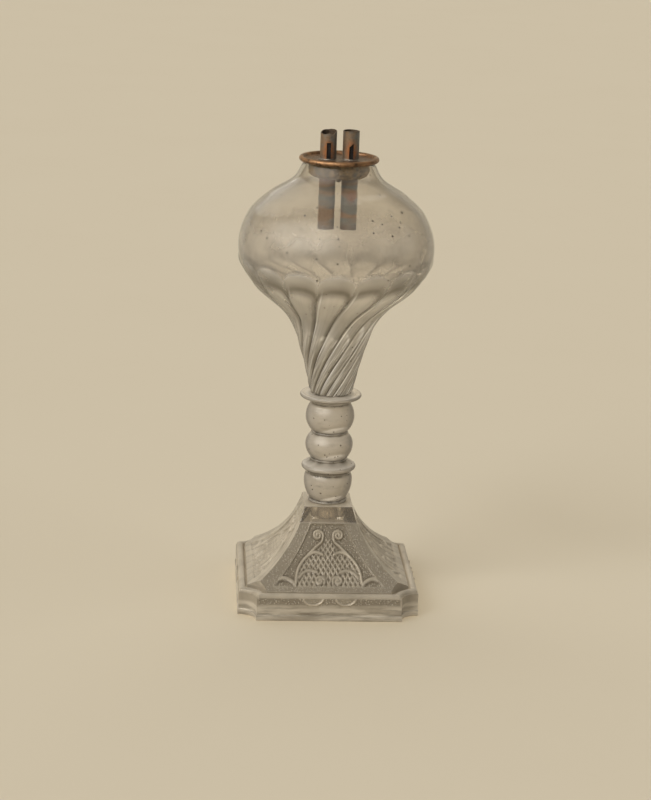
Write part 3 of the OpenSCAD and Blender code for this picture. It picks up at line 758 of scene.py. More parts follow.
def base_levels():
    """Groups of levels, each a (quarter ring, height), from the outer foot over the top and down inside."""
    out = PLINTH_HALF + FOOT_BAND_OUT
    band = ((FOOT_BEVEL, 0), (0, FOOT_BEVEL), (0, FOOT_BAND_H - BAND_BEVEL), (BAND_BEVEL / 2, FOOT_BAND_H))
    foot = [(square_ring(out - inset, NOTCH_R - FOOT_BAND_OUT + inset), z) for inset, z in band]
    wall = [(square_ring(PLINTH_HALF, NOTCH_R), z) for z in (
        FOOT_BAND_H + BAND_BEVEL, WALL_MID_Z, *np.linspace(STRIP_FOOT_Z, PLINTH_H - EDGE_BEVEL, 9))]
    edge = [(square_ring(PLINTH_HALF - EDGE_BEVEL, NOTCH_R + EDGE_BEVEL), PLINTH_H)]
    rail = [(square_ring(r, NOTCH_R + PLINTH_HALF - r), z + RAIL_LIFT)
            for r, z in arc((PLINTH_HALF - RAIL_INSET, PLINTH_H), RAIL_R, 0, 180, 10)]
    gutter = [(square_ring(SWEEP_FOOT_HALF + TOP_BEVEL, CORNER_CUT_R - EDGE_BEVEL), PLINTH_H)]
    riser = [(square_ring(SWEEP_FOOT_HALF, CORNER_CUT_R), z)
             for z in (PLINTH_H + BAND_BEVEL, SWEEP_FOOT_Z - EDGE_BEVEL)]
    sweep_z = np.concatenate([
        np.linspace(SWEEP_FOOT_Z + BAND_BEVEL / 2, PANEL_FOOT_Z, 4),
        np.linspace(PANEL_FOOT_Z, PANEL_FINE_Z, 54)[1:], np.linspace(PANEL_FINE_Z, PANEL_TOP_Z, 33)[1:],
        np.linspace(PANEL_TOP_Z, BASE_H - TOP_BEVEL, 9)[1:]])
    sweep = [(square_ring(sweep_half(z, SWEEP_R), CORNER_CUT_R), z) for z in sweep_z]
    top = square_ring(sweep_half(BASE_H, SWEEP_R) - TOP_BEVEL, CORNER_CUT_R)
    hole = round_ring(SOCKET_R, top)
    plate = [(top, BASE_H), (top * 0.4 + hole * 0.6, BASE_H), (hole * 1.02, BASE_H)]
    socket = [(hole, z) for z in (
        BASE_H - EDGE_BEVEL, (BASE_H + HOLLOW_TOP_Z) / 2, HOLLOW_TOP_Z + EDGE_BEVEL)]
    hollow = []
    for z in (*np.linspace(HOLLOW_TOP_Z, HOLLOW_SIDE_Z, 9), HOLLOW_SIDE_Z - 1, FOOT_BEVEL):
        half = min(sweep_half(z, SWEEP_R + BASE_WALL), HOLLOW_HALF)
        ring = square_ring(half, CORNER_CUT_R + BASE_WALL)
        clear_of_socket = np.maximum(1, (SOCKET_R + SOCKET_GAP) / np.linalg.norm(ring, axis=1))
        hollow.append((ring * clear_of_socket[:, None], z))
    hollow.append((square_ring(HOLLOW_HALF + FOOT_BEVEL, CORNER_CUT_R + BASE_WALL - FOOT_BEVEL), 0))
    return {"foot": foot, "wall": wall, "edge": edge, "rail": rail, "gutter": gutter, "riser": riser,
            "sweep": sweep, "plate": plate, "socket": socket, "hollow": hollow}


def smooth_line(points, count=16):
    """A smooth line through a few points."""
    pts = np.array(points, float)
    ends = np.vstack([2 * pts[0] - pts[1], pts, 2 * pts[-1] - pts[-2]])
    t = np.linspace(0, 1, count, endpoint=False)[:, None]
    spans = [
        0.5 * (2 * b + (c - a) * t + (2 * a - 5 * b + 4 * c - d) * t ** 2 + (3 * b - a - 3 * c + d) * t ** 3)
        for a, b, c, d in zip(ends, ends[1:], ends[2:], ends[3:])]
    return np.vstack(spans + [pts[-1:]])


def volute(centre, start_r, end_r, end_angle, turns, squash):
    """A spiral that opens out from its eye and ends at one angle, in degrees."""
    share = np.linspace(0, 1, 70)
    angle = math.radians(end_angle) - TURN * turns * (1 - share)
    radius = start_r + (end_r - start_r) * share
    return np.column_stack([centre[0] + radius * np.cos(angle), centre[1] + squash * radius * np.sin(angle)])


# Scrolls of a panel's right half: line, half width and share of the full height; places are across and up
SCROLLS = [
    (np.vstack([volute((5.75, 39.4), 0.5, 3.0, 190, 1.6, 0.85),
                smooth_line([(2.8, 38.8), (3.6, 36.2), (7, 33.6), (11, 30.2), (13.2, 28.2)])]), 0.75, 1.0),
    (smooth_line([(3.2, 30.2), (7.5, 31.2), (12, 29.2), (15.5, 25.8), (17.6, 22.2), (18.3, 18.6)]),
     0.85, 1.0),
    (smooth_line([(6.4, 22.6), (10.4, 23.3), (14, 22.3), (16.4, 20.4)]), 0.75, 0.85),
    (volute((5, 19.2), 0.5, 2.9, 200, 1.4, 0.62), 0.7, 0.9),
    (smooth_line([(28.6, 19.6), (24.5, 20.2), (20.8, 19.2), (18.6, 17.6)]), 0.8, 0.85),
]
# The arch that bounds a panel's lattice: half widths at some heights
ARCH_Z = (16, 18.6, 22.2, 25.8, 29.2, 31.2, 34, 37.5)
ARCH_HALF = (18.5, 18.3, 17.6, 15.5, 12, 6.5, 4.6, 1.6)
ARCH_TOP_Z = 38.2
# Lattice and lip of a panel, swags and strip of the plinth's wall, painted fan lines of the side faces
LATTICE_W = 2.7
LATTICE_H = 3.6
BAR_SHARE = 0.24
LIP_H = 0.18
SWAG_X = 9.0
SWAG_Z = PLINTH_H + 0.6
SWAG_R = 5.6
SWAG_HALF_W = 0.65
SWAG_SQUASH = 1.25
SWAG_SHARE = 0.45
STRIP_HALF = 41.0
STRIP_SINK = 0.2
FAN_LINES = 4.5
FAN_LINE_HALF_W = 0.13


def line_distance(x, z, line):
    """Distance of points from a finely divided line."""
    best = np.full(x.shape, np.inf)
    for px, pz in line:
        best = np.minimum(best, (x - px) ** 2 + (z - pz) ** 2)
    return np.sqrt(best)


def panel_relief(x, z, shape):
    """Height of the pressed ornament of one side, with its painted light and shade (tone) and its share of
    stipple.
    """
    across = np.abs(x)
    edge = np.minimum.reduce([
        np.hypot(across - SWEEP_CENTRE[0], z - SWEEP_CENTRE[1]) - SWEEP_R - FRAME_W,
        PANEL_HALF - across, z - PANEL_FOOT_Z, PANEL_TOP_Z - z])
    sunk = ease(edge, 0, 0.6)
    inside = ease(np.interp(z, ARCH_Z, ARCH_HALF) - across, 0.2, 0.9) * ease(ARCH_TOP_Z - z, 0, 0.8) * sunk
    lattice = 0
    for slant in (-1, 1):
        phase = x / LATTICE_W + slant * z / LATTICE_H
        lattice = np.maximum(lattice, bead(np.abs(phase - np.round(phase)) / BAR_SHARE))
    lattice = lattice * inside
    scroll, shade = np.zeros(x.shape), np.zeros(x.shape)
    for line, half_w, share in SCROLLS:
        off = line_distance(across, z, line) / half_w
        scroll = np.maximum(scroll, share * bead(off))
        shade = np.maximum(shade, hump(off, 1.35, 0.45))
    scroll = scroll * sunk
    ground = scroll < 0.1
    shade = shade * sunk * ground
    lip = hump(edge, 0.15, 0.35)
    raised = np.maximum(shape.ridge_h * scroll, shape.lattice_h * lattice)
    height = raised - shape.panel_sink * sunk + LIP_H * lip
    # Painted shade on sunk ground and beside scrolls, painted light on lips, scrolls and lattice.
    tone = FRAME_TONE - SUNK_SHADE * (sunk + inside) - SCROLL_SHADE * shade + LIP_LIGHT * lip
    tone = tone + SCROLL_LIGHT * scroll ** 1.5 + LATTICE_LIGHT * lattice * ground
    frame_dots = FRAME_STIPPLE * (1 - sunk) * ease(PANEL_TOP_Z - z, 0, 2)
    stipple = sunk * (1 - inside) * (1 - scroll) * (1 - shade) + frame_dots
    return height, unit(tone), unit(stipple)


def wall_relief(x, z, shape):
    """Height of the two swags and the stippled strip on the plinth's wall, with painted light and shade
    (tone) and stipple.
    """
    across = np.abs(x)
    strip = ease(z, 9.0, 9.5) * ease(STRIP_HALF - across, 1.5, 2.2)
    reach = np.hypot(across - SWAG_X, (z - SWAG_Z) * SWAG_SQUASH)
    swag = bead(np.abs(reach - SWAG_R) / SWAG_HALF_W) * ease(z, 8.6, 9.2)
    bowl = ease(SWAG_R - reach, 0, 0.4)
    height = SWAG_SHARE * shape.ridge_h * swag - STRIP_SINK * strip * (1 - swag)
    tone = unit(WALL_TONE - STRIP_SHADE * strip + SWAG_LIGHT * swag + BOWL_LIGHT * bowl)
    return height, tone, strip * (1 - swag) * (1 - 0.6 * bowl)


class LAMP_OT_build_base(bpy.types.Operator):
    """Press the square base with its scrolled panels out of a ring of glass"""

    bl_idname = "lamp.build_base"
    bl_label = "Base"

    def execute(self, context):
        shape = context.scene.lamp_shape
        groups = base_levels()
        levels = sum(groups.values(), [])
        ends = np.cumsum([len(group) for group in groups.values()])
        span = {name: slice(end - len(groups[name]), end) for name, end in zip(groups, ends)}
        quarter = SIDE_COLUMNS + CORNER_COLUMNS
        rings = np.array([ring for ring, _ in levels])
        heights = np.repeat(np.array([z for _, z in levels], float)[:, None], quarter, axis=1)
        tone = np.full(heights.shape, PLAIN_TONE)
        stipple, clear = np.zeros(heights.shape), np.zeros(heights.shape)

        side, wall, swept = slice(0, SIDE_COLUMNS), span["wall"], span["sweep"]
        lift, tone[wall, side], stipple[wall, side] = wall_relief(
            rings[wall, side, 0], heights[wall, side], shape)
        rings[wall, side, 1] -= lift
        lift, tone[swept, side], stipple[swept, side] = panel_relief(
            rings[swept, side, 0], heights[swept, side], shape)
        out = (SWEEP_CENTRE[0] + rings[swept, :1, 1]) / SWEEP_R
        up = (SWEEP_CENTRE[1] - heights[swept, :1]) / SWEEP_R
        rings[swept, side, 1] -= lift * out
        heights[swept, side] += lift * up
        # Painted light on the rail and top, painted shade in the groove above the foot band.
        tone[span["rail"]] = RAIL_TONE
        tone[wall.start - 1:wall.start + 1] = GROOVE_SHADE_TONE
        tone[span["plate"]] = TOP_TONE
        clear[swept] = ease(heights[swept], PANEL_TOP_Z + 0.3, PANEL_TOP_Z + 1)
        clear[span["socket"]] = 1

        piece, column, row = sheet("base", 4 * quarter, len(levels))
        column = column % (4 * quarter)
        level = row % len(levels)
        turn, within = column // quarter, column % quarter
        x, y = rings[level, within].T
        cos, sin = np.cos(turn * math.pi / 2), np.sin(turn * math.pi / 2)
        pressed = np.column_stack([x * cos - y * sin, x * sin + y * cos, heights[level, within]])
        # Painted light: the left and right faces are lighter, with their relief's light and shade muted and
        # painted fan lines.
        lit_side_tone = unit(SIDE_TONE + SIDE_CONTRAST * tone - self.fan_shade_lines(rings[:, :, 0], rings[:, :1, 1]))
        at_side = turn % 2 == 1
        plain_side = at_side & (level >= swept.start) & (level < swept.stop)
        paint(piece, "relief", np.where(plain_side, lit_side_tone[level, within], tone[level, within]))
        paint(piece, "stipple", stipple[level, within] * np.where(at_side, SIDE_STIPPLE, 1))
        paint(piece, "clear", clear[level, within])
        weld_sheet(piece, pressed)
        glass = pressed_glass(context.scene.lamp_colours)
        finish_piece(piece, "glass", glass, ["base"], smooth=30)
        return {"FINISHED"}

    def fan_shade_lines(self, across, half):
        """Painted shade: fine dark lines that fan out from the top of a side face."""
        share = across / np.abs(half) * FAN_LINES
        return FAN_SHADE * hump(share, np.round(share), FAN_LINE_HALF_W)


# Stem

KNOP_ROUNDNESS = 0.75
KNOP_POINTS = 34
STEM_STEPS = 128
PEG_EDGE_R = 0.8
SAUCER_EDGE_R = 1.2
SAUCER_FOOT_R = 11.2


def knop(node, weld, foot_r, full_h, top_r):
    """Outline of a knop that is widest at one height, from the axis round to the axis."""
    foot_z, top_z, full_r = low(node).z, high(node).z, high(node).x
    height = top_z - foot_z
    points = []
    for at in np.linspace(0, height, KNOP_POINTS):
        up = at > full_h
        share = (at - full_h) / (height - full_h) if up else (full_h - at) / full_h
        end_r = top_r if up else foot_r
        bulge = max(math.cos(math.pi / 2 * share), 0) ** KNOP_ROUNDNESS
        points.append((end_r + (full_r - end_r) * bulge, foot_z + at))
    return [(0, foot_z - weld), (foot_r, foot_z - weld)] + points + [(top_r, top_z + weld), (0, top_z + weld)]


def disc(node, weld, edge_r, top_r=None, foot_r=None):
    """Outline of a flat piece with a rounded edge."""
    foot_z, top_z, full_r = low(node).z, high(node).z, high(node).x
    foot_r = foot_r or full_r - edge_r
    top_r = top_r or full_r - edge_r
    edge = arc((full_r - edge_r, (foot_z + top_z) / 2), edge_r, -75, 80, 12)
    return ([(0, foot_z - weld), (foot_r, foot_z - weld), (foot_r, foot_z)] + edge
            + [(top_r, top_z), (top_r, top_z + weld), (0, top_z + weld)])


def peg(node, weld):
    """Outline of the peg, with its lower edge rounded."""
    foot_z, top_z, full_r = low(node).z, high(node).z, high(node).x
    edge = arc((full_r - PEG_EDGE_R, foot_z + PEG_EDGE_R), PEG_EDGE_R, -90, 0, 6)
    return [(0, foot_z)] + edge + [(full_r, top_z - 2), (full_r, top_z + weld), (0, top_z + weld)]


def saucer(node, weld):
    """Outline of the saucer-shaped disc under the font, hollow above and curved below."""
    foot_z, top_z, full_r = low(node).z, FONT_Z, high(node).x
    below = [(0, -weld), (SAUCER_FOOT_R, -weld), (SAUCER_FOOT_R, 0), (11.7, 1.4), (12.8, 2.3), (14.6, 2.9)]
    above = [(14.6, -0.55), (13.2, -0.5), (FONT_RADII[0], 0), (11, weld), (0, weld)]
    edge = arc((full_r - SAUCER_EDGE_R, top_z - SAUCER_EDGE_R), SAUCER_EDGE_R, -70, 115, 14)
    return [(r, foot_z + z) for r, z in below] + edge + [(r, top_z + z) for r, z in above]


class LAMP_OT_build_stem(bpy.types.Operator):
    """Turn the knops, wafers, collar and peg of the stem"""

    bl_idname = "lamp.build_stem"
    bl_label = "Stem"

    def execute(self, context):
        weld = context.scene.lamp_shape.weld
        outlines = {
            "stem_peg": peg("stem_peg", weld),
            "foot_wafer": disc("foot_wafer", weld, edge_r=0.85),
            "lower_knop": knop("lower_knop", weld, foot_r=10, full_h=11, top_r=12.6),
            "stem_collar": disc("stem_collar", weld, edge_r=1.6, top_r=10.5, foot_r=12.6),
            "lower_wafer": disc("lower_wafer", weld, edge_r=0.6),
            "middle_knop": knop("middle_knop", weld, foot_r=10, full_h=8, top_r=10),
            "upper_wafer": disc("upper_wafer", weld, edge_r=0.6),
            "upper_knop": knop("upper_knop", weld, foot_r=10, full_h=7.9, top_r=10.9),
            "font_wafer": saucer("font_wafer", weld),
        }
        glass = stem_glass(context.scene.lamp_colours)
        for seed, (name, outline) in enumerate(outlines.items()):
            piece = turned(name, outline, STEM_STEPS)
            hand_worked(piece, amount=0.12, size=11, seed=seed)
            paint(piece, "grime", self.joint_dirt(points_of(piece), outline[1], outline[-2]))
            finish_piece(piece, "glass", glass, [name], smooth=40)
        return {"FINISHED"}

    def joint_dirt(self, points, *joints):
        """How dirty each point is: dark in the creases where a piece meets its neighbours."""
        radius, _ = round_axis(points)
        near = np.min([np.hypot(radius - r, points[:, 2] - z) for r, z in joints], axis=0)
        return hump(near, 0, 0.9) * unit(0.75 + 0.5 * ripple(points, size=5, seed=30))


# Font

# Form of the ribs, and strength and reach of the font's haze, painted shade in the creases and under the rib
# tops, streaks with painted shade, and film
FONT_COLUMNS = 480
BLEND_RISE = 2
FOOT_ROUND_H = 3.0
FOOT_ROUND_SHARE = 0.65
PLAIN_HAZE = 0.12
CREASE_SHADE = 0.9
UNDER_CAP_SHADE = 0.28
INNER_STREAKS_AND_SHADE = 0.4
CAP_DEPTH = 10.5
FILM = 0.8
FILM_RISE = 6
FILM_SPREAD = 17


def font_outline(z):
    """Radius of the font's smooth outline at each height."""
    knots_z = FONT_Z + np.array(FONT_RISES, float)
    knots_r = np.array(FONT_RADII, float)
    before = np.maximum(np.arange(len(knots_z)) - 1, 0)
    after = np.minimum(np.arange(len(knots_z)) + 1, len(knots_z) - 1)
    slopes = (knots_r[after] - knots_r[before]) / (knots_z[after] - knots_z[before])
    i = np.clip(np.searchsorted(knots_z, z, side="right") - 1, 0, len(knots_z) - 2)
    step = knots_z[i + 1] - knots_z[i]
    t = (z - knots_z[i]) / step
    return ((2 * t ** 3 - 3 * t ** 2 + 1) * knots_r[i] + (t ** 3 - 2 * t ** 2 + t) * step * slopes[i]
            + (3 * t ** 2 - 2 * t ** 3) * knots_r[i + 1] + (t ** 3 - t ** 2) * step * slopes[i + 1])


class FontForm:
    """The font's form: the smooth blown wall, and the swirled ribs of the second gather over it."""

    def __init__(self, shape):
        self.shape = shape
        self.valley_z = PETAL_TOP_Z - shape.petal_arch
        self.arch_foot_z = self.valley_z - shape.petal_arch
        self.edge_row_z = (self.valley_z + PETAL_TOP_Z) / 2
        self.blend_z = BELLY_Z + BLEND_RISE

    def wall_r(self, z):
        """Outer radius of the blown wall, drawn in under the ribs."""
        return font_outline(z) - self.shape.rib_t * (1 - ease(z, self.arch_foot_z, BELLY_Z))

    def outline(self):
        """Outline of the whole font: up the outside, over the rim, down the inside to the axis."""
        near = np.linspace(0, 1, 26)
        outer = np.concatenate([
            np.linspace(FONT_Z, FONT_Z + 4, 7)[:-1], np.linspace(FONT_Z + 4, self.arch_foot_z, 56),
            self.arch_foot_z + (self.edge_row_z - self.arch_foot_z) * (1 - (1 - near[1:]) ** 1.7),
            self.edge_row_z + (self.blend_z - self.edge_row_z) * near[1:14] ** 2 / near[13] ** 2,
            np.linspace(self.blend_z, RIM_Z - RIM_EDGE, 32)[1:-1]])
        points = [(0, FONT_Z)] + list(zip(self.wall_r(outer), outer))
        rim_r = FONT_RADII[-1]
        points += arc((rim_r - RIM_EDGE, RIM_Z - RIM_EDGE), RIM_EDGE, 0, 90, 4)
        points += arc((rim_r - FONT_WALL + RIM_EDGE, RIM_Z - RIM_EDGE), RIM_EDGE, 90, 180, 4)
        inner = np.linspace(RIM_Z - 2, FLOOR_Z, 46)
        slope = (self.wall_r(inner + 0.1) - self.wall_r(inner - 0.1)) / 0.2
        norm = np.sqrt(1 + slope ** 2)
        r, z = self.wall_r(inner) - FONT_WALL / norm, inner + FONT_WALL * slope / norm
        share = bead(np.clip(FLOOR_Z + FLOOR_ROUND - z, 0, None) / FLOOR_ROUND)
        kept = (z > FLOOR_Z) & (z < RIM_Z - 2 * RIM_EDGE) & ((r > rim_r - FONT_WALL) | (z < BELLY_Z))
        return points + list(zip((r * share)[kept], z[kept])) + [(0, FLOOR_Z)]

    def ribbed(self, points):
        """The outline's points, with the outer ones below the widest place drawn into swirled ribs."""
        shape = self.shape
        radius, angle = round_axis(points)
        z = points[:, 2].copy()
        outer = (radius > self.wall_r(z) - FONT_WALL / 2) & (z < self.blend_z)
        rib = self.rib_at(angle)
        phase = np.abs(2 * (rib - np.floor(rib)) - 1)
        edge_z = self.valley_z + shape.petal_arch * np.sqrt(1 - phase ** 2)
        under = z <= self.edge_row_z + 1e-6
        stretch_low = self.arch_foot_z + (z - self.arch_foot_z) * (
            (edge_z - self.arch_foot_z) / (self.edge_row_z - self.arch_foot_z))
        stretch_high = self.blend_z - (self.blend_z - z) * (
            (self.blend_z - edge_z) / (self.blend_z - self.edge_row_z))
        moved = np.where(z < self.arch_foot_z, z, np.where(under, stretch_low, stretch_high))
        depth = np.clip(edge_z - moved, 0, None)
        crown = unit(np.cos(phase * math.pi / 2)) ** (1.4 - 0.7 * ease(depth, 4, 20))
        lip = np.sin(unit(depth / shape.petal_lip) * math.pi / 2) ** 0.8
        swell = hump(depth, 5, 3.0) - 1.2 * hump(depth, 12, 4.0)
        cap = (shape.petal_stand * (1 - ease(depth, 8, 30)) + shape.petal_swell * swell) * lip * crown
        valley = (shape.rib_t - shape.valley_t) * ease(depth, 0, 14) * (1 - crown)
        foot = unit((moved - FONT_Z) / FOOT_ROUND_H)
        foot = FOOT_ROUND_SHARE * (1 - np.sqrt(1 - (1 - foot) ** 2)) * (shape.rib_t - valley)
        share = unit((PETAL_TOP_Z - moved) / (PETAL_TOP_Z - FONT_Z))
        turn = -math.radians(shape.rib_turn) * share ** shape.rib_turn_power
        radius = np.where(outer, font_outline(moved) + np.where(under, cap - valley - foot, 0), radius)
        on_ribs = outer & under
        on_inside = radius < self.wall_r(z) - FONT_WALL / 2
        rib_haze = 0.2 + 0.8 * ease(depth, 0, 3.5)
        floor_haze = 0.05 + 0.85 * (1 - ease(z, FLOOR_Z + 8, FLOOR_Z + 28))
        # Painted shade: a dark line in each crease between ribs, and a dark band under each rib's top.
        crease = CREASE_SHADE * hump(phase, 1, 0.055 + 0.05 * share) * ease(depth, 1, 14)
        # The inner wall takes the same streaks and painted shade as the ribs over it.
        seen_within = INNER_STREAKS_AND_SHADE * self.streaks_and_shade(self.rib_at(angle - turn), PETAL_TOP_Z - z)
        layers = {
            "haze": np.where(on_ribs, rib_haze, np.where(outer, PLAIN_HAZE, floor_haze)),
            "film": np.where(on_inside, FILM * hump(z, PETAL_TOP_Z + FILM_RISE, FILM_SPREAD), 0),
            "crease": np.where(on_ribs, np.maximum(crease, UNDER_CAP_SHADE * hump(depth, CAP_DEPTH, 3.6)), 0),
            "streak": np.where(on_ribs, self.streaks_and_shade(rib, depth), np.where(on_inside, seen_within, 0)),
            "gleam": np.where(on_ribs, self.gleams(rib, depth), 0),
        }
        angle = np.where(outer, angle + turn, angle)
        return place_round(radius, angle, np.where(outer, moved, z)), layers

    def rib_at(self, angle):
        """Number of the rib at each angle; its fraction runs across the rib."""
        return np.mod(angle - math.radians(self.shape.rib_start), TURN) / TURN * self.shape.rib_count

    def streaks_and_shade(self, rib, depth):
        """Light and dark streaks that follow the ribs, with painted shade beside each crease and at and under
        each rib's round top.
        """
        across = rib - np.floor(rib)
        lanes = np.column_stack([rib * 7, depth * 0.10, 3 * np.sin(rib * TURN)])
        lanes = unit(0.5 + 0.75 * ripple(lanes, size=2.0, seed=44)) * (0.2 + 1.2 * ease(depth, 34, 58))
        # Painted shade: dark bands beside each crease, and at and under each rib's round top.
        sides = hump(across, 0.93, 0.08) + 0.6 * hump(across, 0.04, 0.05)
        under_top = hump(depth, CAP_DEPTH, 3.8) + 0.42 * (1 - ease(depth, 4, 9))
        return unit(0.7 * lanes * ease(depth, 8, 22) + 0.75 * sides * ease(depth, 8, 20) + under_top)

    def gleams(self, rib, depth):
        """Bright lines: one beside each crease, and one round each rib's top."""
        across = rib - np.floor(rib)
        fade = unit(0.75 + 0.5 * np.sin(9 * np.floor(rib) + depth / 9))
        beside = fade * hump(across, 0.12, 0.035) * ease(depth, 5, 16)
        return unit(beside + 0.2 * hump(depth, 1.6, 1.3))


class LAMP_OT_build_font(bpy.types.Operator):
    """Blow the font and draw the ribs of its second gather"""

    bl_idname = "lamp.build_font"
    bl_label = "Font"

    def execute(self, context):
        form = FontForm(context.scene.lamp_shape)
        radius, z = np.array(form.outline()).T
        piece, column, row = sheet("font", FONT_COLUMNS, len(z) - 1)
        points, layers = form.ribbed(place_round(radius[row], TURN * column / FONT_COLUMNS, z[row]))
        for layer, values in layers.items():
            paint(piece, layer, values)
        weld_sheet(piece, points)
        hand_worked(piece, amount=0.15, size=30, seed=40)
        glass = font_glass(context.scene.lamp_colours)
        finish_piece(piece, "glass", glass, ["font", "gadroon"], smooth=50)
        return {"FINISHED"}


# Burner

# Sizes of the burner's small forms, and depths of its wear
PLATE_DENT = 0.06
CORK_ROUNDING = 4.5
CORK_WEAR = 0.35
CORK_CRUMBLE = 0.25
TONGUE_R = 1.35
TONGUE_H = 3.5
SLOT_W = 2.4
SLOT_H = 9.5
SLOT_POINT_H = 2.2
RIM_WEAR = 0.125
RIM_WEAR_H = 8
SEAM_STEP = 0.0216
DENT = 0.05
SOOT_H = 1.2
SOLDER_FLOW = 0.35
WICK_EDGE_R = 1.2
BRAID_STRANDS = 8
BRAID_TURN = 2.2
BRAID_DEPTH = 0.22
FRAY = 0.8
FRAY_H = 3.0
CHAR_FOOT = 22
CHAR_FULL = 12


class LAMP_OT_build_plate(bpy.types.Operator):
    """Spin the burner's round plate with its rolled edge"""

    bl_idname = "lamp.build_plate"
    bl_label = "Burner plate"

    def execute(self, context):
        top_z = DISC_Z + PLATE_T
        centre = (DISC_R - BEAD_R, DISC_Z + BEAD_R)
        inner = centre[0] - BEAD_R
        outline = [(0, DISC_Z), (inner * 0.5, DISC_Z), (inner, DISC_Z), (centre[0] - 0.3, DISC_Z)]
        outline += arc(centre, BEAD_R, -90, 160, 22)[1:]
        outline += [(inner - 0.25, top_z + 0.25), (inner - 0.9, top_z + 0.02)]
        outline += [(inner * share, top_z) for share in (0.75, 0.5, 0.25, 0)]
        piece = turned("burner_disc", outline, steps=160)
        points = points_of(piece)
        points[:, 2] += PLATE_DENT * ripple(points, size=9, seed=50) * (points[:, 2] > DISC_Z + PLATE_T / 2)
        set_points(piece, points)
        cut_tube_holes(piece, DISC_Z - 1, top_z + 2)
        radius, _ = round_axis(points_of(piece))
        paint(piece, "wear", ease(radius, inner - 3, inner + 0.5))
        copper = copper_plate(context.scene.lamp_colours)
        finish_piece(piece, "burner", copper, ["burner_disc"], smooth=40)
        return {"FINISHED"}


class LAMP_OT_build_cork(bpy.types.Operator):
    """Carve the cork under the plate, with the tongue between the tubes"""

    bl_idname = "lamp.build_cork"
    bl_label = "Cork"

    def execute(self, context):
        tongue_z, top_z, cork_r = low("cork").z, high("cork").z, high("cork").x
        foot_z = tongue_z + TONGUE_H
        floor_r = cork_r - CORK_ROUNDING
        outline = [(0, tongue_z), (TONGUE_R * 0.6, tongue_z + 0.1), (TONGUE_R, tongue_z + 0.6)]
        outline += [(TONGUE_R, foot_z - 0.8), (TONGUE_R + 0.4, foot_z)]
        outline += [(r, foot_z) for r in np.linspace(TONGUE_R + 1.2, floor_r, 10)]
        outline += arc((floor_r, foot_z + CORK_ROUNDING), CORK_ROUNDING, -90, 0, 12)[1:]
        outline += [(cork_r, z) for z in np.linspace(foot_z + CORK_ROUNDING, top_z, 6)[1:]]
        outline += [(cork_r * share, top_z) for share in (0.7, 0.35, 0)]
        piece = turned("cork", outline, steps=120)
        points = points_of(piece)
        radius, angle = round_axis(points)
        z = points[:, 2]
        wear = CORK_WEAR * np.clip(ripple(points, size=4, seed=60) + 0.5, 0, 2) * ease(radius, 8, 14)
        crumbled = CORK_CRUMBLE * ripple(points, size=5, seed=61) * ((z > tongue_z) & (z < foot_z + 3))
        set_points(piece, place_round(radius - wear, angle, z + crumbled))
        cut_tube_holes(piece, tongue_z - 2, top_z + 1)
        finish_piece(piece, "burner", cork_bark(context.scene.lamp_colours), ["cork"], smooth=50)
        return {"FINISHED"}


def slot_cutter(side, point_h):
    """A block that cuts a tube's pick slot from the front; its top may slope down to the left."""
    foot_z = DISC_Z + PLATE_T
    bpy.ops.object.select_all(action="DESELECT")
    bpy.ops.mesh.primitive_cube_add(size=1)
    cutter = bpy.context.active_object
    for vertex in cutter.data.vertices:
        right, near, up = vertex.co.x > 0, vertex.co.y < 0, vertex.co.z > 0
        x = side * TUBE_X + (SLOT_W / 2 if right else -SLOT_W / 2)
        z = foot_z + (SLOT_H if up else 0)
        if up and not right:
            z -= point_h
        vertex.co = Vector((x, -2 * TUBE_R if near else 0, z)) * MM
    return cutter


class LAMP_OT_build_tubes(bpy.types.Operator):
    """Roll the two wick tubes, with their pick slots and worn rims"""

    bl_idname = "lamp.build_tubes"
    bl_label = "Wick tubes"

    def execute(self, context):
        metal = tube_metal(context.scene.lamp_colours)
        inner_r = TUBE_R - TUBE_WALL
        heights = np.concatenate([
            np.linspace(TUBE_FOOT_Z, DISC_Z, 22), np.linspace(DISC_Z, TUBE_TOP_Z, 24)[1:]])
        outline = [(TUBE_R, z) for z in heights] + [(inner_r, z) for z in heights[::-1]]
        for name, side in SIDES.items():
            piece = turned(f"wick_tube_{name}", outline, steps=96, closed=True)
            points = points_of(piece)
            radius, angle = round_axis(points)
            z = points[:, 2]
            torn = self.torn_rim(angle) if name == "left" else RIM_WEAR * (1 + np.sin(2 * angle + 1))
            seam = SEAM_STEP * ease(np.sin(angle), 0.93, 0.96) * (radius > inner_r + 0.1)
            dented = DENT * (ripple(points, size=12, seed=70 + side) - 1)
            worn_z = z - torn * ease(z, TUBE_TOP_Z - RIM_WEAR_H, TUBE_TOP_Z)
            set_beside(piece, side, radius - seam + dented, angle, worn_z)
            cut_out(piece, slot_cutter(side, 0 if name == "left" else SLOT_POINT_H))
            points = points_of(piece)
            slot = points - (side * TUBE_X, -TUBE_R, DISC_Z + 6)
            patch = points - (TUBE_X + 1, -TUBE_R, DISC_Z - 20)
            near_slot = 1 - ease(np.linalg.norm(slot * (0.8, 0.6, 0.45), axis=1), 1.0, 3.6)
            near_patch = 1 - ease(np.linalg.norm(patch * (0.5, 0.5, 0.6), axis=1), 0.6, 2.2)
            paint(piece, "rust", unit(near_slot + 0.9 * near_patch))
            inside = np.hypot(points[:, 0] - side * TUBE_X, points[:, 1]) < TUBE_R - 0.35
            sooty = 0.7 * ease(points[:, 2], TUBE_TOP_Z - SOOT_H, TUBE_TOP_Z)
            paint(piece, "sooty", np.where(inside, 1.0, sooty))
            finish_piece(piece, "burner", metal, [f"wick_tube_{name}"], smooth=35)
        return {"FINISHED"}

    def torn_rim(self, angle):
        """How far the torn rim lies below the tube's full height, round the tube."""
        front_left = np.cos(angle - math.radians(235))
        nick = hump(np.mod(angle - math.radians(300) + math.pi, TURN), math.pi, 0.22)
        return np.clip(0.9 + 0.95 * front_left + 0.6 * nick + 0.15 * np.sin(5 * angle), 0, None)


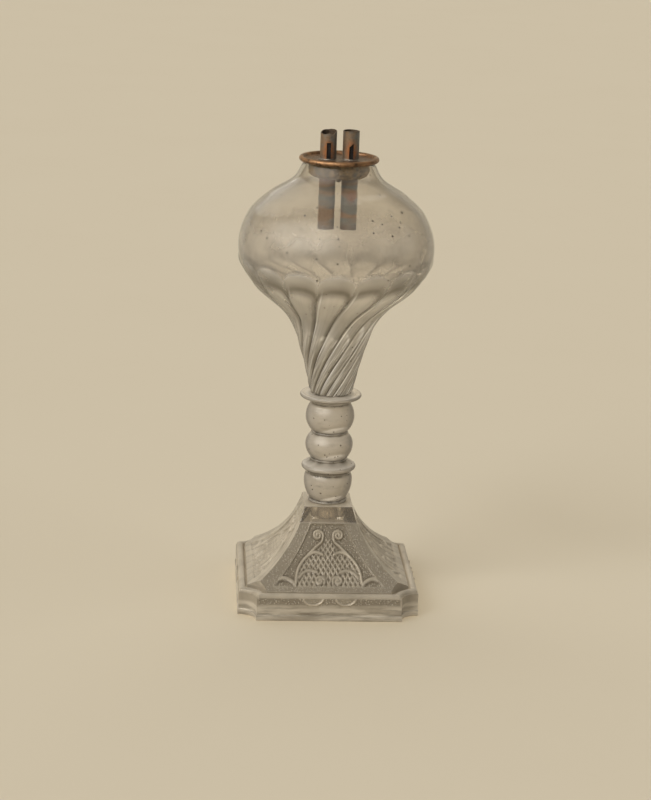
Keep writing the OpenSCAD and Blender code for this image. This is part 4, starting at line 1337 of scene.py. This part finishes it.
class LAMP_OT_build_solder(bpy.types.Operator):
    """Run the solder fillets round the feet of the tubes"""

    bl_idname = "lamp.build_solder"
    bl_label = "Solder"

    def execute(self, context):
        metal = solder_metal(context.scene.lamp_colours)
        foot_z = DISC_Z + PLATE_T
        width = high("solder_left").z - foot_z
        outline = [(TUBE_R - 0.2, foot_z - 0.1)]
        outline += arc((TUBE_R + width, foot_z + width), width, 268, 182, 8)
        outline += [(TUBE_R - 0.2, foot_z + width)]
        for name, side in SIDES.items():
            piece = turned(f"solder_{name}", outline, steps=72, closed=True)
            points = points_of(piece)
            radius, angle = round_axis(points)
            flow = 1 + SOLDER_FLOW * ripple(points, size=3.2, seed=80 + side)
            radius = TUBE_R + (radius - TUBE_R) * np.clip(flow, 0.4, 1.3)
            set_beside(piece, side, radius, angle, foot_z + (points[:, 2] - foot_z) * np.clip(flow, 0.4, 1.0))
            finish_piece(piece, "burner", metal, [f"solder_{name}"], smooth=60)
        return {"FINISHED"}


class LAMP_OT_build_wicks(bpy.types.Operator):
    """Braid the two cotton wicks and char their tops"""

    bl_idname = "lamp.build_wicks"
    bl_label = "Wicks"

    def execute(self, context):
        cotton = wick_cotton(context.scene.lamp_colours)
        for name, side in SIDES.items():
            node = f"wick_{name}"
            foot_z, top_z = low(node).z, high(node).z
            wick_r = (high(node).x - low(node).x) / 2
            flat_r = wick_r - WICK_EDGE_R
            outline = [(0, foot_z)] + arc((flat_r, foot_z + WICK_EDGE_R), WICK_EDGE_R, -90, 0, 5)
            outline += [(wick_r, z) for z in np.linspace(foot_z + 1.5, top_z - 1.5, 120)]
            outline += arc((flat_r, top_z - WICK_EDGE_R), WICK_EDGE_R, 0, 90, 5)
            outline += [(r, top_z) for r in np.linspace(wick_r - 1.6, 0, 8)]
            piece = turned(node, outline, steps=64)
            points = points_of(piece)
            radius, angle = round_axis(points)
            z = points[:, 2]
            across, along = BRAID_STRANDS * angle, BRAID_TURN * z
            strand = np.sin(across + along) * np.sin(across - along)
            radius = radius - BRAID_DEPTH * (1 - strand) * ease(radius, 2.0, wick_r)
            frayed = np.abs(ripple(points * (1, 1, 0.2), size=1.3, seed=90 + side))
            z = z - FRAY * frayed * ease(z, top_z - FRAY_H, top_z)
            set_beside(piece, side, radius, angle, z)
            ragged = z + FRAY * ripple(points, size=2.0, seed=95)
            paint(piece, "char", ease(ragged, top_z - CHAR_FOOT, top_z - CHAR_FULL))
            finish_piece(piece, node, cotton, [node], smooth=60)
        return {"FINISHED"}


# Stage

FLOOR_R = 7.0
# Share of its colour that the lit floor shows, which the world beyond it takes over
FLOOR_SHOWN = (0.963, 0.952, 0.933)
# What the camera looks at, the picture's size and the place in it where the target lies
TARGET = Vector((0, 0, 0.130))
IMAGE_SIZE = (651, 800)
TARGET_PIXEL = (331.7, 370.4)
# The soft light that only gloss shows
SHINE_PLACE = (-1.3, -1.1, 0.85)
SHINE_TINT = (1, 0.96, 0.88)
# Far soft lights: place, spread in degrees and colour
LIGHTS = {
    "key": ((-1.3, -1.0, 1.2), 36, (1.0, 0.98, 0.95)),
    "fill": ((1.8, -0.4, 0.8), 60, (0.97, 0.98, 1.0)),
    "back": ((-0.3, 1.4, 1.5), 70, (1.0, 0.99, 0.97)),
}


class LAMP_OT_build_stage(bpy.types.Operator):
    """Lay the pale floor and set the soft lights and the camera"""

    bl_idname = "lamp.build_stage"
    bl_label = "Stage"

    def execute(self, context):
        scene, stage = context.scene, context.scene.lamp_stage
        self.lay_floor(stage)
        self.light_sky(scene, stage)
        self.set_lights(stage)
        self.set_camera(scene, stage)
        scene.view_settings.view_transform = "Standard"
        scene.cycles.max_bounces = 20
        scene.cycles.transmission_bounces = 18
        scene.cycles.transparent_max_bounces = 24
        return {"FINISHED"}

    def lay_floor(self, stage):
        """A wide round floor of plain pale card."""
        bpy.ops.object.select_all(action="DESELECT")
        bpy.ops.mesh.primitive_circle_add(vertices=96, radius=FLOOR_R, fill_type="NGON")
        floor = bpy.context.active_object
        floor.name = floor.data.name = "floor"
        finish = Finish("floor_card")
        colour = finish.mix(finish.clouds(180, 4, 0.3, 0.8, 0.0, 0.12), stage.paper, stage.mottle)
        card = finish.done(Base_Color=colour, Roughness=1.0, Specular_IOR_Level=0.0)
        floor.data.materials.append(card)

    def set_lights(self, stage):
        """Soft lights from far away, which gloss doesn't show; the key light doesn't shine into the glass."""
        for name, (place, spread, colour) in LIGHTS.items():
            bpy.ops.object.select_all(action="DESELECT")
            bpy.ops.object.light_add(type="SUN", location=place)
            light = bpy.context.active_object
            light.name = light.data.name = f"{name}_light"
            light.data.angle = math.radians(spread)
            light.data.energy = getattr(stage, name)
            light.data.color = colour
            light.rotation_euler = (-Vector(place)).to_track_quat("-Z", "Y").to_euler()
            light.visible_glossy = False
            light.visible_transmission = name != "key"

    def light_sky(self, scene, stage):
        """An even light from all round; the view, gloss and glass see the floor's colour instead."""
        scene.world = bpy.data.worlds.new("studio")
        scene.world.use_nodes = True
        sky = Nodes(scene.world.node_tree)
        shown = [part * share for part, share in zip(stage.paper, FLOOR_SHOWN)]
        paper, soft, dim = ((*(level * part for part in shown), 1) for level in (1, 0.7, 0.3))
        shine = (*(stage.shine * part for part in SHINE_TINT), 1)
        path = sky.add("ShaderNodeLightPath").outputs
        behind = self.lobe(sky, (0, 1, 0.1), -0.2, 0.6)
        gloss = sky.mix(behind, dim, paper)
        raised = sky.mix(self.lobe(sky, (0, 0, 1), 0.0, 0.45), gloss, shine)
        gloss = sky.mix(self.lobe(sky, SHINE_PLACE, 0.6, 1.0), gloss, raised)
        colour = sky.coats(
            (stage.sky, stage.sky, stage.sky, 1), (path["Is Glossy Ray"], gloss),
            (path["Is Transmission Ray"], sky.mix(behind, soft, paper)), (path["Is Camera Ray"], paper))
        light = sky.add("ShaderNodeBackground", {"Color": colour})
        sky.add("ShaderNodeOutputWorld", {"Surface": light.outputs[0]})

    def lobe(self, sky, towards, start, end):
        """A soft share from 0 to 1 that grows towards one direction."""
        direction = sky.add("ShaderNodeTexCoord").outputs["Generated"]
        along = sky.add("ShaderNodeVectorMath", {0: direction, 1: Vector(towards).normalized()},
                        operation="DOT_PRODUCT")
        return sky.spread(along.outputs["Value"], start, end)

    def set_camera(self, scene, stage):
        """A camera at the picture's height and lean."""
        turn, lift, lean = (math.radians(a) for a in (stage.azimuth, stage.elevation, stage.roll))
        back = Vector((math.sin(turn) * math.cos(lift), -math.cos(turn) * math.cos(lift), math.sin(lift)))
        right = Vector((math.cos(turn), math.sin(turn), 0))
        up = back.cross(right)
        leaned = (right * math.cos(lean) + up * math.sin(lean), up * math.cos(lean) - right * math.sin(lean))
        camera = bpy.data.objects.new("camera", bpy.data.cameras.new("camera"))
        scene.collection.objects.link(camera)
        camera.matrix_world = Matrix.Translation(TARGET + back * stage.distance) @ Matrix(
            (leaned[0], leaned[1], back)).transposed().to_4x4()
        camera.data.lens = stage.lens
        camera.data.shift_x = (IMAGE_SIZE[0] / 2 - TARGET_PIXEL[0]) / max(IMAGE_SIZE)
        camera.data.shift_y = (TARGET_PIXEL[1] - IMAGE_SIZE[1] / 2) / max(IMAGE_SIZE)
        scene.camera = camera


class LAMP_PT_pieces(bpy.types.Panel):
    """Lists the lamp's pieces and settings in the sidebar"""

    bl_label = "Whale Oil Lamp"
    bl_idname = "LAMP_PT_pieces"
    bl_space_type = "VIEW_3D"
    bl_region_type = "UI"
    bl_category = "Lamp"

    def draw(self, context):
        for operator in OPERATORS:
            self.layout.operator(operator.bl_idname)
        for settings in SETTINGS:
            group = getattr(context.scene, settings)
            box = self.layout.box()
            for name in group.bl_rna.properties.keys():
                if name not in ("rna_type", "name"):
                    box.prop(group, name)


SETTINGS = {
    "lamp_shape": LampShapeSettings,
    "lamp_colours": LampColourSettings,
    "lamp_stage": LampStageSettings,
}
OPERATORS = (
    LAMP_OT_build_stage, LAMP_OT_build_base, LAMP_OT_build_stem, LAMP_OT_build_font, LAMP_OT_build_plate,
    LAMP_OT_build_cork, LAMP_OT_build_tubes, LAMP_OT_build_solder, LAMP_OT_build_wicks,
)


def register():
    """Registers the settings, operators and panel."""
    for name, group in SETTINGS.items():
        bpy.utils.register_class(group)
        setattr(bpy.types.Scene, name, PointerProperty(type=group))
    for operator in OPERATORS:
        bpy.utils.register_class(operator)
    bpy.utils.register_class(LAMP_PT_pieces)


def unregister():
    """Removes the panel, operators and settings."""
    bpy.utils.unregister_class(LAMP_PT_pieces)
    for operator in reversed(OPERATORS):
        bpy.utils.unregister_class(operator)
    for name, group in SETTINGS.items():
        delattr(bpy.types.Scene, name)
        bpy.utils.unregister_class(group)


def main():
    """Builds the lamp."""
    register()
    bpy.ops.lamp.build_stage()
    bpy.ops.lamp.build_base()
    bpy.ops.lamp.build_stem()
    bpy.ops.lamp.build_font()
    bpy.ops.lamp.build_plate()
    bpy.ops.lamp.build_cork()
    bpy.ops.lamp.build_tubes()
    bpy.ops.lamp.build_solder()
    bpy.ops.lamp.build_wicks()


if __name__ == "__main__":
    main()
